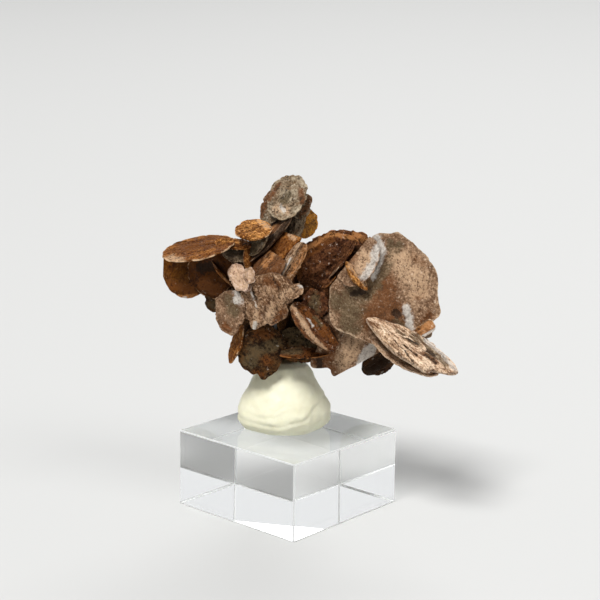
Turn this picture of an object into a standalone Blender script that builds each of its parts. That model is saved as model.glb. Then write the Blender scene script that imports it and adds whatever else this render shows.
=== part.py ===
"""Bladed calcite on its stand: a cluster of intergrown lens-shaped crystals,
held by a mound of mineral putty on a small clear acrylic block.

Frame: metres, +Z up, origin at the centre of the block's underside,
+X along the cluster's long direction, -Y towards its best side.
Blade sizes and places below are written in millimetres.
"""
import math

import bmesh
import bpy
from mathutils import Matrix, Vector

MM = 0.001

# Stand: a one inch square block, half an inch high, turned under the specimen.
BLOCK_SIDE = 25.4 * MM
BLOCK_HEIGHT = 12.7 * MM
BLOCK_TURN = math.radians(-41.5)
BLOCK_BEVEL = 0.3 * MM

# Gap kept between pieces that touch.
FIT_GAP = 0.3 * MM

# Putty: half profile of the mound, (half width, height above the block).
PUTTY_CENTRE = (-0.9, 1.1)
PUTTY_PROFILE = ((6.3, 0.0), (7.1, 0.8), (7.5, 2.0), (7.4, 3.3), (6.8, 4.8),
                 (6.0, 6.4), (5.2, 8.0), (4.5, 9.3), (3.9, 10.5), (2.6, 11.2))
PUTTY_DEPTH_RATIO = 0.86
PUTTY_SEGMENTS = 40
PUTTY_FOLDS = ((4, 0.6, 0.030), (7, 2.1, 0.018))

# Lens profile of one crystal: (share of the radius, share of the half thickness).
LENS = ((0.0, 1.0), (0.62, 0.74), (1.0, 0.16))
RIM_WAVES = ((5, 0.012), (9, 0.008), (14, 0.006))
BASE_SEGMENTS = 10

# Every blade: at = centre, face = (azimuth, elevation, roll) of the disc in degrees,
# size = (length, width, thickness). An azimuth of 0 faces -Y.
# Optional: point = exponent of the outline, 2 an ellipse and less a pointed lens;
# breaks = straight broken edges (direction, distance from the centre);
# corners = bulges of the rim (direction, spread, height).
RIGHT_DISCS = {
    "wide_disc": dict(at=(14.8, -4.0, 37.3), face=(5, 15, 88), size=(17.8, 17.4, 2.4),
                      breaks=((51, 6.9),), corners=((-12, 7, 0.6), (-112, 9, 1.2), (-133, 8, 1.7))),
    "inner_plate": dict(at=(11.0, -3.9, 42.7), face=(-19, 20, 65), size=(6.6, 5.8, 1.8),
                        breaks=((80, 0.8),)),
    "brown_disc": dict(at=(7.3, 0.5, 39.1), face=(-18, 6, 13), size=(13.2, 13.2, 2.2),
                       breaks=((145, 6.6),)),
    "middle_plate": dict(at=(4.2, -3.5, 34.8), face=(-26, 20, 56), size=(5.0, 5.0, 1.6)),
    "small_lens": dict(at=(10.3, -4.9, 39.6), face=(56, 40, -78), size=(4.8, 3.0, 1.2), point=1.6),
    "corner_plate": dict(at=(21.2, -5.8, 31.6), face=(-39, 28, 55), size=(4.0, 3.0, 1.4)),
}
LOWER_RIGHT = {
    "lower_fan": dict(at=(9.6, -4.0, 29.5), face=(1, 0, -1), size=(11.6, 11.2, 2.2),
                      breaks=((-59, 4.3),), corners=((-111, 8, 1.2), (-142, 12, 2.1))),
    "slant_lens": dict(at=(3.6, -7.0, 31.6), face=(50, 44, -70), size=(10.6, 6.4, 2.0), point=1.8),
    "diagonal_blade": dict(at=(19.1, -9.0, 29.0), face=(37, 56, -56), size=(17.2, 7.4, 2.2), point=1.6,
                           breaks=((-43, 5.8),), corners=((-43, 12, 1.1),)),
    "diagonal_top": dict(at=(16.7, -8.6, 31.7), face=(36, 53, -49), size=(8.4, 4.2, 1.2), point=1.6),
    "diagonal_under": dict(at=(17.9, -7.4, 27.6), face=(23, 56, -51), size=(13.0, 6.0, 1.8), point=1.7),
    "hidden_spur": dict(at=(14.5, -1.4, 24.9), face=(-3, -15, 40), size=(6.4, 4.2, 1.8)),
}
CENTRE_FAN = {
    "fan_lower": dict(at=(-3.5, -6.0, 36.1), face=(-6, 0, 37), size=(9.6, 8.2, 2.4),
                      corners=((-151, 9, 0.8), (-52, 12, -1.0))),
    "fan_upper": dict(at=(-2.2, -3.5, 42.2), face=(-38, 35, 66), size=(11.4, 7.4, 1.8),
                      breaks=((-87, 2.0), (17, 4.2))),
    "fan_edge": dict(at=(-0.2, -4.6, 41.0), face=(30, -6, 61), size=(9.6, 3.6, 2.4)),
    "wedge_tip": dict(at=(0.5, -6.3, 37.3), face=(19, 38, 25), size=(3.6, 2.4, 1.4)),
    "pale_tuft": dict(at=(-8.2, -6.0, 39.4), face=(-28, 21, 79), size=(4.0, 3.8, 1.6)),
    "pale_tuft_small": dict(at=(-6.5, -7.0, 40.1), face=(43, 22, 72), size=(2.6, 3.4, 1.2)),
    "lower_left_disc": dict(at=(-9.4, -6.0, 33.9), face=(-16, 6, 82), size=(7.2, 5.0, 2.0)),
}
LEFT_WING = {
    "shelf_disc": dict(at=(-14.6, -3.0, 43.1), face=(-55, 77, 62), size=(11.7, 11.6, 1.4)),
    "shelf_arm": dict(at=(-9.2, -3.0, 43.6), face=(44, 64, -65), size=(5.8, 3.6, 1.2)),
    "hanging_disc_left": dict(at=(-16.8, 1.0, 39.2), face=(-10, 7, 3), size=(8.0, 9.4, 1.4),
                              corners=((-61, 16, 0.3),)),
    "hanging_disc_right": dict(at=(-12.7, 2.0, 39.5), face=(-18, -1, 4), size=(7.6, 8.8, 1.4),
                               corners=((-75, 16, 0.6),)),
    "edge_blade": dict(at=(-10.9, -1.0, 38.8), face=(88, 41, -96), size=(6.0, 4.0, 0.9)),
    "olive_disc": dict(at=(-11.0, 1.5, 34.4), face=(-10, 5, 22), size=(6.0, 5.2, 1.4)),
}
TOWER = {
    "tower_blade": dict(at=(-0.6, 0.0, 51.3), face=(-22, 31, 76), size=(8.2, 6.8, 1.6)),
    "tower_back": dict(at=(-2.7, 1.4, 49.6), face=(-32, 25, 80), size=(6.6, 4.6, 1.4)),
    "tower_strip": dict(at=(-3.2, -1.5, 45.1), face=(-63, 45, 88), size=(12.5, 4.8, 1.4), point=1.8),
    "tower_rear": dict(at=(0.1, 1.2, 46.3), face=(-29, 19, 75), size=(7.5, 5.0, 2.6)),
    "amber_disc": dict(at=(2.3, 3.0, 46.7), face=(19, 3, 78), size=(4.7, 3.6, 1.4)),
    "cap_disc": dict(at=(-5.9, -4.0, 46.4), face=(-8, 65, 7), size=(5.9, 5.8, 1.3),
                     breaks=((-103, 2.4),)),
    "cap_root": dict(at=(-5.0, -3.0, 44.6), face=(-38, 28, 74), size=(5.2, 3.4, 1.8)),
}
FOOT = {
    "foot_blade": dict(at=(-4.5, -3.5, 27.1), face=(7, -2, 81), size=(9.0, 7.8, 3.0),
                       corners=((-167, 9, 0.8), (159, 10, -0.4))),
    "foot_blade_right": dict(at=(1.8, -1.5, 27.7), face=(10, -3, -8), size=(10.2, 6.0, 2.2)),
    "left_splinter": dict(at=(-8.3, -4.2, 28.2), face=(-62, 16, 82), size=(7.4, 4.6, 1.2)),
    "recess_blade": dict(at=(1.6, 0.5, 30.3), face=(7, 24, 18), size=(8.0, 6.4, 2.0)),
    "recess_left": dict(at=(-6.5, -0.5, 31.5), face=(-20, 10, 40), size=(8.0, 6.5, 1.8)),
}
TIES = {
    "fan_tie": dict(at=(-3.5, -1.8, 36.5), face=(80, 5, 0), size=(10.0, 8.0, 2.4)),
    "disc_tie": dict(at=(13.0, -0.5, 36.5), face=(95, 0, 0), size=(11.0, 9.0, 2.2)),
    "wing_tie": dict(at=(-8.0, 1.5, 38.0), face=(20, 0, 0), size=(12.0, 7.0, 2.4)),
    "foot_tie": dict(at=(-1.0, 0.5, 31.0), face=(70, 0, 10), size=(9.0, 8.0, 2.4)),
    "tower_tie": dict(at=(-1.0, 1.5, 42.0), face=(60, 10, 80), size=(9.0, 6.0, 2.4)),
}
REAR = {
    "core_blade": dict(at=(1.0, 4.2, 35.5), face=(10, 0, 0), size=(17.0, 11.0, 4.0)),
    "spine_blade": dict(at=(-3.0, 4.0, 36.0), face=(75, 10, 10), size=(12.0, 12.0, 3.0)),
    "rear_wide_disc": dict(at=(12.0, 5.0, 35.5), face=(165, 15, 20), size=(14.5, 13.0, 2.2)),
    "rear_left_disc": dict(at=(-9.0, 6.0, 37.0), face=(215, 10, 30), size=(11.0, 9.0, 2.0)),
    "rear_cross_disc": dict(at=(6.0, 8.0, 34.0), face=(100, -15, 60), size=(12.0, 10.0, 2.0)),
    "rear_shelf": dict(at=(2.0, 7.0, 40.0), face=(190, 65, 10), size=(12.0, 10.0, 1.8)),
    "rear_low_disc": dict(at=(1.0, 8.0, 30.0), face=(185, -25, 0), size=(11.0, 9.0, 2.2)),
    "rear_fin": dict(at=(14.8, 2.0, 29.4), face=(130, -20, 60), size=(12.0, 7.5, 2.0)),
    "rear_cap": dict(at=(-5.0, 9.0, 34.0), face=(240, 30, 70), size=(8.0, 7.0, 1.6)),
    "rear_spur": dict(at=(9.0, 11.0, 38.0), face=(150, 40, -30), size=(7.0, 5.5, 1.4)),
}
BLADES = {**RIGHT_DISCS, **LOWER_RIGHT, **CENTRE_FAN, **LEFT_WING, **TOWER, **FOOT, **TIES, **REAR}

# Blades that stand in the putty, which is pocketed around them.
PUTTY_POCKETS = ("foot_blade", "foot_blade_right", "recess_blade", "rear_low_disc")

# Hollows broken into the crystals: centre and size of each rounded pit.
PITS = {
    "glassy_hollow": dict(at=(11.1, -5.6, 38.3), size=(5.0, 3.0, 4.2)),
    "disc_pit": dict(at=(16.9, -6.2, 33.6), size=(1.6, 2.4, 1.6)),
}


def clear_scene():
    for item in list(bpy.data.objects):
        bpy.data.objects.remove(item, do_unlink=True)


def make_material(name, colour, roughness, transmission=0.0, ior=1.5):
    material = bpy.data.materials.new(name)
    material.use_nodes = True
    shader = material.node_tree.nodes["Principled BSDF"]
    shader.inputs["Base Color"].default_value = (*colour, 1.0)
    shader.inputs["Roughness"].default_value = roughness
    shader.inputs["Metallic"].default_value = 0.0
    shader.inputs["Transmission Weight"].default_value = transmission
    shader.inputs["IOR"].default_value = ior
    return material


def add_object(name, bm):
    bmesh.ops.recalc_face_normals(bm, faces=bm.faces)
    mesh = bpy.data.meshes.new(name)
    bm.to_mesh(mesh)
    bm.free()
    item = bpy.data.objects.new(name, mesh)
    bpy.context.scene.collection.objects.link(item)
    return item


def hide_guide(item):
    item.hide_render = True
    item.display_type = "WIRE"


def outline_radius(angle, half_length, half_width, point, corners, phase):
    """Distance from a blade's centre to its rim in one direction."""
    along = (abs(math.cos(angle)) / half_length) ** point
    across = (abs(math.sin(angle)) / half_width) ** point
    radius = (along + across) ** (-1.0 / point)
    radius *= 1.0 + sum(height * math.sin(waves * angle + phase * waves) for waves, height in RIM_WAVES)
    for direction, spread, height in corners:
        turn = (math.degrees(angle) - direction + 180.0) % 360.0 - 180.0
        radius += height * MM * math.exp(-(turn / spread) ** 2)
    return radius


def blade_matrix(at, face):
    azimuth, elevation, roll = (math.radians(value) for value in face)
    normal = Vector((math.sin(azimuth) * math.cos(elevation),
                     -math.cos(azimuth) * math.cos(elevation), math.sin(elevation)))
    level = Vector((math.cos(azimuth), math.sin(azimuth), 0.0))
    turn = Matrix((level, normal.cross(level), normal)).transposed() @ Matrix.Rotation(roll, 3, "Z")
    return Matrix.Translation(Vector(at) * MM) @ turn.to_4x4()


def lens_mesh(size, point, breaks, corners, phase, grow):
    """A lens turned from its half profile, pushed out to its outline and broken straight."""
    length, width, thickness = (value * MM + 2.0 * grow for value in size)
    segments = BASE_SEGMENTS + round(0.65 * length / MM)
    bm = bmesh.new()
    upper = [bm.verts.new((radius, 0.0, height)) for radius, height in LENS]
    lower = [bm.verts.new((radius, 0.0, -height)) for radius, height in reversed(LENS)]
    profile = upper + lower
    edges = [bm.edges.new(pair) for pair in zip(profile, profile[1:])]
    bmesh.ops.spin(bm, geom=profile + edges, cent=(0, 0, 0), axis=(0, 0, 1), angle=math.tau,
                   steps=segments, use_merge=True)
    bmesh.ops.remove_doubles(bm, verts=bm.verts, dist=0.0001)
    for vertex in bm.verts:
        angle = math.atan2(vertex.co.y, vertex.co.x)
        reach = outline_radius(angle, length / 2, width / 2, point, corners, phase)
        vertex.co.x *= reach
        vertex.co.y *= reach
        vertex.co.z *= thickness / 2
    for direction, distance in breaks:
        outward = Vector((math.cos(math.radians(direction)), math.sin(math.radians(direction)), 0.0))
        cut = bmesh.ops.bisect_plane(bm, geom=bm.verts[:] + bm.edges[:] + bm.faces[:], dist=0.000001,
                                     plane_co=outward * (distance * MM + grow), plane_no=outward,
                                     clear_outer=True)
        rim = [part for part in cut["geom_cut"] if isinstance(part, bmesh.types.BMEdge)]
        bmesh.ops.edgeloop_fill(bm, edges=rim)
    return bm


def add_blade(name, at, face, size, point=2.0, breaks=(), corners=(), grow=0.0):
    phase = sum(at) % math.tau
    bm = lens_mesh(size, point, breaks, corners, phase, grow)
    bmesh.ops.transform(bm, matrix=blade_matrix(at, face), verts=bm.verts)
    return add_object(name, bm)


def add_pit(name, at, size):
    bm = bmesh.new()
    bmesh.ops.create_uvsphere(bm, u_segments=12, v_segments=8, radius=0.5)
    bmesh.ops.scale(bm, vec=Vector(size) * MM, verts=bm.verts)
    bmesh.ops.translate(bm, vec=Vector(at) * MM, verts=bm.verts)
    return add_object(name, bm)


def group_guides(name, guides):
    group = bpy.data.collections.new(name)
    bpy.context.scene.collection.children.link(group)
    for guide in guides:
        group.objects.link(guide)
        hide_guide(guide)
    return group


def add_boolean(item, operation, group):
    boolean = item.modifiers.new(operation.title(), "BOOLEAN")
    boolean.operation = operation
    boolean.solver = "EXACT"
    boolean.operand_type = "COLLECTION"
    boolean.collection = group


def shade(item, angle):
    item.data.shade_smooth()
    item.data.set_sharp_from_angle(angle=math.radians(angle))


def add_calcite():
    material = make_material("calcite", (0.42, 0.25, 0.14), 0.55)
    first, *others = BLADES
    cluster = add_blade("calcite_blades", **BLADES[first])
    cluster.data.materials.append(material)
    blades = [add_blade(name, **BLADES[name]) for name in others]
    add_boolean(cluster, "UNION", group_guides("blades", blades))
    pits = [add_pit(name, **PITS[name]) for name in PITS]
    add_boolean(cluster, "DIFFERENCE", group_guides("pits", pits))
    shade(cluster, 25)
    return cluster


def add_putty():
    material = make_material("putty", (0.80, 0.78, 0.62), 0.6)
    bm = bmesh.new()
    floor = BLOCK_HEIGHT + FIT_GAP
    ring = [bm.verts.new((width * MM, 0.0, floor + height * MM)) for width, height in PUTTY_PROFILE]
    ring = [bm.verts.new((0.0, 0.0, floor))] + ring
    ring.append(bm.verts.new((0.0, 0.0, ring[-1].co.z)))
    edges = [bm.edges.new(pair) for pair in zip(ring, ring[1:])]
    bmesh.ops.spin(bm, geom=ring + edges, cent=(0, 0, 0), axis=(0, 0, 1), angle=math.tau,
                   steps=PUTTY_SEGMENTS, use_merge=True)
    bmesh.ops.remove_doubles(bm, verts=bm.verts, dist=0.00001)
    for vertex in bm.verts:
        angle = math.atan2(vertex.co.y, vertex.co.x)
        fold = 1.0 + sum(depth * math.sin(waves * angle + start) for waves, start, depth in PUTTY_FOLDS)
        vertex.co.x = vertex.co.x * fold + PUTTY_CENTRE[0] * MM
        vertex.co.y = vertex.co.y * fold * PUTTY_DEPTH_RATIO + PUTTY_CENTRE[1] * MM
    mound = add_object("mineral_putty", bm)
    mound.data.materials.append(material)
    pockets = [add_blade(name + "_pocket", grow=FIT_GAP, **BLADES[name]) for name in PUTTY_POCKETS]
    add_boolean(mound, "DIFFERENCE", group_guides("pockets", pockets))
    shade(mound, 40)
    return mound


def add_block():
    material = make_material("clear_acrylic", (0.95, 0.97, 0.98), 0.04, transmission=1.0, ior=1.49)
    bm = bmesh.new()
    bmesh.ops.create_cube(bm, size=1.0)
    bmesh.ops.scale(bm, vec=(BLOCK_SIDE, BLOCK_SIDE, BLOCK_HEIGHT), verts=bm.verts)
    bmesh.ops.bevel(bm, geom=bm.edges[:], offset=BLOCK_BEVEL, segments=1, profile=0.5,
                    affect="EDGES", material=-1)
    bmesh.ops.translate(bm, vec=(0.0, 0.0, BLOCK_HEIGHT / 2), verts=bm.verts)
    block = add_object("acrylic_base", bm)
    block.data.materials.append(material)
    block.rotation_euler.z = BLOCK_TURN
    return block


clear_scene()
add_block()
add_putty()
add_calcite()
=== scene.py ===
import math

import bmesh
import bpy
from mathutils import Matrix, Vector, noise
from mathutils.bvhtree import BVHTree


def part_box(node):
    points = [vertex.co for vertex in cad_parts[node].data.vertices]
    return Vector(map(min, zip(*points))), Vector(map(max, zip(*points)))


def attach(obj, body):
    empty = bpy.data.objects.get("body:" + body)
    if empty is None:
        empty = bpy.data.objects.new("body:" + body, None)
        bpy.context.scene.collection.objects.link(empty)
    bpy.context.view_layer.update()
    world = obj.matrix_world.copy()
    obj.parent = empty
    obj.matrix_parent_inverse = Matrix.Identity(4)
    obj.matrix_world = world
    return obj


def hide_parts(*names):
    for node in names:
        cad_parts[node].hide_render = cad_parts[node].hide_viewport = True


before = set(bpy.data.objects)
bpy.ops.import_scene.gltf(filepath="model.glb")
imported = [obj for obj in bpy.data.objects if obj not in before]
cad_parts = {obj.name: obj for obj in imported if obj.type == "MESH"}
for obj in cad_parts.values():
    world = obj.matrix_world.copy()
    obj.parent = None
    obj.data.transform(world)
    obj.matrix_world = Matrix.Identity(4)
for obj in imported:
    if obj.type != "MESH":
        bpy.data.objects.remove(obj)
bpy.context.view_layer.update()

mm = 0.001
noise.seed_set(7)      # without it the crests would differ from run to run


# small helpers for shader nodes

def fillInputs(tree, node, inputs):
    # a socket is linked, any other value is set
    for key, value in inputs.items():
        if isinstance(value, bpy.types.NodeSocket):
            tree.links.new(value, node.inputs[key])
        else:
            node.inputs[key].default_value = value


def addNode(tree, kind, spot, inputs=None, **settings):
    node = tree.nodes.new(kind)
    node.location = spot
    for name, value in settings.items():
        setattr(node, name, value)
    fillInputs(tree, node, inputs or {})
    return node


def maths(tree, spot, operation, first, second=0.0, third=None, clamp=False):
    inputs = {0: first, 1: second}
    if third is not None:
        inputs[2] = third
    node = addNode(tree, "ShaderNodeMath", spot, inputs, operation=operation, use_clamp=clamp)
    return node.outputs[0]


def vectorMaths(tree, spot, operation, first, second=None, scale=None):
    inputs = {0: first}
    if second is not None:
        inputs[1] = second
    if scale is not None:
        inputs["Scale"] = scale
    node = addNode(tree, "ShaderNodeVectorMath", spot, inputs, operation=operation)
    return node.outputs["Value" if operation == "DOT_PRODUCT" else "Vector"]


def mixColour(tree, spot, mask, first, second):
    # colour sockets of the mix node are numbers 6 and 7, its colour result is number 2
    node = addNode(tree, "ShaderNodeMix", spot, {0: mask, 6: first, 7: second}, data_type="RGBA")
    return node.outputs[2]


def ramp(tree, spot, value, low, high, toLow=0.0, toHigh=1.0):
    limits = {"Value": value, "From Min": low, "From Max": high, "To Min": toLow, "To Max": toHigh}
    node = addNode(tree, "ShaderNodeMapRange", spot, limits, interpolation_type="SMOOTHSTEP")
    return node.outputs["Result"]


def noiseTexture(tree, spot, place, scale, detail, **more):
    inputs = {"Vector": place, "Scale": scale, "Detail": detail}
    inputs.update({name.capitalize(): value for name, value in more.items()})
    return addNode(tree, "ShaderNodeTexNoise", spot, inputs).outputs


def newGroup(name, inputs, outputs):
    group = bpy.data.node_groups.new(name, "ShaderNodeTree")
    group.interface.new_socket("Place", in_out="INPUT", socket_type="NodeSocketVector")
    for label, value in inputs.items():
        socket = group.interface.new_socket(label, in_out="INPUT", socket_type="NodeSocketFloat")
        socket.default_value = value
    for label in outputs:
        group.interface.new_socket(label, in_out="OUTPUT", socket_type="NodeSocketFloat")
    start = addNode(group, "NodeGroupInput", (-1000, 0))
    end = addNode(group, "NodeGroupOutput", (800, 0))
    return group, start.outputs, end.inputs


def useEffect(tree, name, spot, inputs):
    return addNode(tree, "ShaderNodeGroup", spot, inputs, node_tree=effects[name]).outputs


def newMaterial(name):
    material = bpy.data.materials.new(name)
    material.use_nodes = True
    return material, material.node_tree, material.node_tree.nodes["Principled BSDF"]


def colour(red, green, blue):
    return (red, green, blue, 1.0)


def objectPlace(tree, spot):
    # the point on the piece, in millimetres
    point = addNode(tree, "ShaderNodeTexCoord", spot).outputs["Object"]
    return vectorMaths(tree, (spot[0] + 200, spot[1]), "SCALE", point, scale=1.0 / mm)


def readAttribute(tree, spot, name, part="Vector"):
    return addNode(tree, "ShaderNodeAttribute", spot, attribute_name=name).outputs[part]


def readThree(tree, spot, name):
    whole = readAttribute(tree, spot, name)
    split = addNode(tree, "ShaderNodeSeparateXYZ", (spot[0] + 200, spot[1]), {0: whole})
    return split.outputs[0], split.outputs[1], split.outputs[2]


# effects shared by the materials: each takes a Place in millimetres, and its sizes are in millimetres too

def makeStainClouds():
    group, given, result = newGroup("stainClouds", {"Size": 3.0, "Level": 0.5, "Softness": 0.1}, ["Mask"])
    frequency = maths(group, (-800, -100), "DIVIDE", 1.0, given["Size"])
    clouds = noiseTexture(group, (-500, 0), given["Place"], frequency, 5.0, roughness=0.62, distortion=0.7)
    low = maths(group, (-500, -300), "SUBTRACT", given["Level"], given["Softness"])
    high = maths(group, (-500, -460), "ADD", given["Level"], given["Softness"])
    mask = ramp(group, (0, 0), clouds["Fac"], low, high)
    group.links.new(mask, result["Mask"])
    return group


def makeSugarGrain():
    # short curling crests with hollows between them, over tiny crystal faces of uneven brightness
    group, given, result = newGroup("sugarGrain", {"Size": 0.9, "Curl": 0.8}, ["Crest", "Facet", "Height"])
    frequency = maths(group, (-850, -150), "DIVIDE", 1.0, given["Size"])
    scaled = vectorMaths(group, (-850, 50), "SCALE", given["Place"], scale=frequency)
    curls = noiseTexture(group, (-600, 350), scaled, 1.0, 3.0, roughness=0.60, distortion=given["Curl"])
    level = maths(group, (-400, 350), "SUBTRACT", curls["Fac"], 0.5)
    level = maths(group, (-250, 350), "ABSOLUTE", level)
    crest = ramp(group, (-100, 350), level, 0.0, 0.085, 1.0, 0.0)
    warp = noiseTexture(group, (-650, -150), scaled, 2.0, 3.0)
    push = vectorMaths(group, (-480, -150), "SUBTRACT", warp["Color"], (0.5, 0.5, 0.5))
    place = vectorMaths(group, (-320, 50), "ADD", scaled, push)
    cells = addNode(group, "ShaderNodeTexVoronoi", (-120, 50), {"Vector": place, "Scale": 2.6}, feature="F1")
    facing = vectorMaths(group, (80, 150), "SUBTRACT", cells.outputs["Color"], (0.5, 0.5, 0.5))
    offset = vectorMaths(group, (80, -20), "SUBTRACT", place, cells.outputs["Position"])
    slope = vectorMaths(group, (250, 100), "DOT_PRODUCT", facing, offset)
    shade = addNode(group, "ShaderNodeSeparateColor", (80, -200), {"Color": cells.outputs["Color"]})
    step = maths(group, (420, 150), "MULTIPLY_ADD", shade.outputs["Green"], 0.25, slope)
    height = maths(group, (580, 150), "MULTIPLY_ADD", crest, 0.10, step)
    group.links.new(crest, result["Crest"])
    group.links.new(shade.outputs["Red"], result["Facet"])
    group.links.new(height, result["Height"])
    return group


def makeGrowthLines():
    # long streaks along x of the given place, a little wavy; Value runs about 0.3 to 0.7
    group, given, result = newGroup("growthLines", {"Spacing": 0.4, "Wobble": 0.5}, ["Value"])
    drift = noiseTexture(group, (-800, -150), given["Place"], 0.5, 3.0)
    sway = vectorMaths(group, (-600, -150), "SUBTRACT", drift["Color"], (0.5, 0.5, 0.5))
    push = vectorMaths(group, (-450, -150), "SCALE", sway, scale=given["Wobble"])
    swayed = vectorMaths(group, (-300, 0), "ADD", given["Place"], push)
    long = vectorMaths(group, (-150, 0), "MULTIPLY", swayed, (0.16, 1.0, 1.0))
    frequency = maths(group, (-300, -300), "DIVIDE", 1.0, given["Spacing"])
    stripes = noiseTexture(group, (100, 0), long, frequency, 4.0, roughness=0.65)
    group.links.new(stripes["Fac"], result["Value"])
    return group


def makePaintedRimLight():
    # painted rim light: the thin outer rim, with a ragged inner border
    group, given, result = newGroup("paintedRimLight", {"Reach": 0.0, "Start": 0.9, "Ragged": 0.1}, ["Mask"])
    bite = noiseTexture(group, (-600, -100), given["Place"], 1.6, 4.0)
    shift = maths(group, (-400, -100), "SUBTRACT", bite["Fac"], 0.5)
    reach = maths(group, (-200, 0), "MULTIPLY_ADD", shift, given["Ragged"], given["Reach"])
    end = maths(group, (-200, -200), "ADD", given["Start"], 0.06)
    mask = ramp(group, (100, 0), reach, given["Start"], end)
    group.links.new(mask, result["Mask"])
    return group


def makePatchEdge():
    # turns a soft painted patch into one with an irregular, broken border
    group, given, result = newGroup("patchEdge", {"Patch": 0.0, "Size": 0.8, "Softness": 0.12}, ["Mask"])
    frequency = maths(group, (-800, -150), "DIVIDE", 1.0, given["Size"])
    edge = noiseTexture(group, (-600, -100), given["Place"], frequency, 6.0, roughness=0.72)
    shift = maths(group, (-400, -100), "SUBTRACT", edge["Fac"], 0.5)
    patch = maths(group, (-200, 0), "MULTIPLY_ADD", shift, 2.2, given["Patch"])
    low = maths(group, (-200, -200), "SUBTRACT", 0.5, given["Softness"])
    high = maths(group, (-200, -350), "ADD", 0.5, given["Softness"])
    inside = ramp(group, (0, 0), patch, low, high)
    present = ramp(group, (0, -200), given["Patch"], 0.02, 0.25)
    mask = maths(group, (200, 0), "MULTIPLY", inside, present)
    group.links.new(mask, result["Mask"])
    return group


effects = {"clouds": makeStainClouds(), "grain": makeSugarGrain(), "lines": makeGrowthLines(),
           "rim": makePaintedRimLight(), "patch": makePatchEdge()}
print("shared effects ready")


# calcite finishes: colours are linear, lengths in millimetres; deep fills the hollows and the painted shade
# between blades, light the crests, rim colours the painted rim light
# cell, cellHeight and stretch shape the crests in the mesh, rib its long ridges and step its terraces

# paintedGlint: share of painted glints, near-white highlight spots in the base colour
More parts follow.
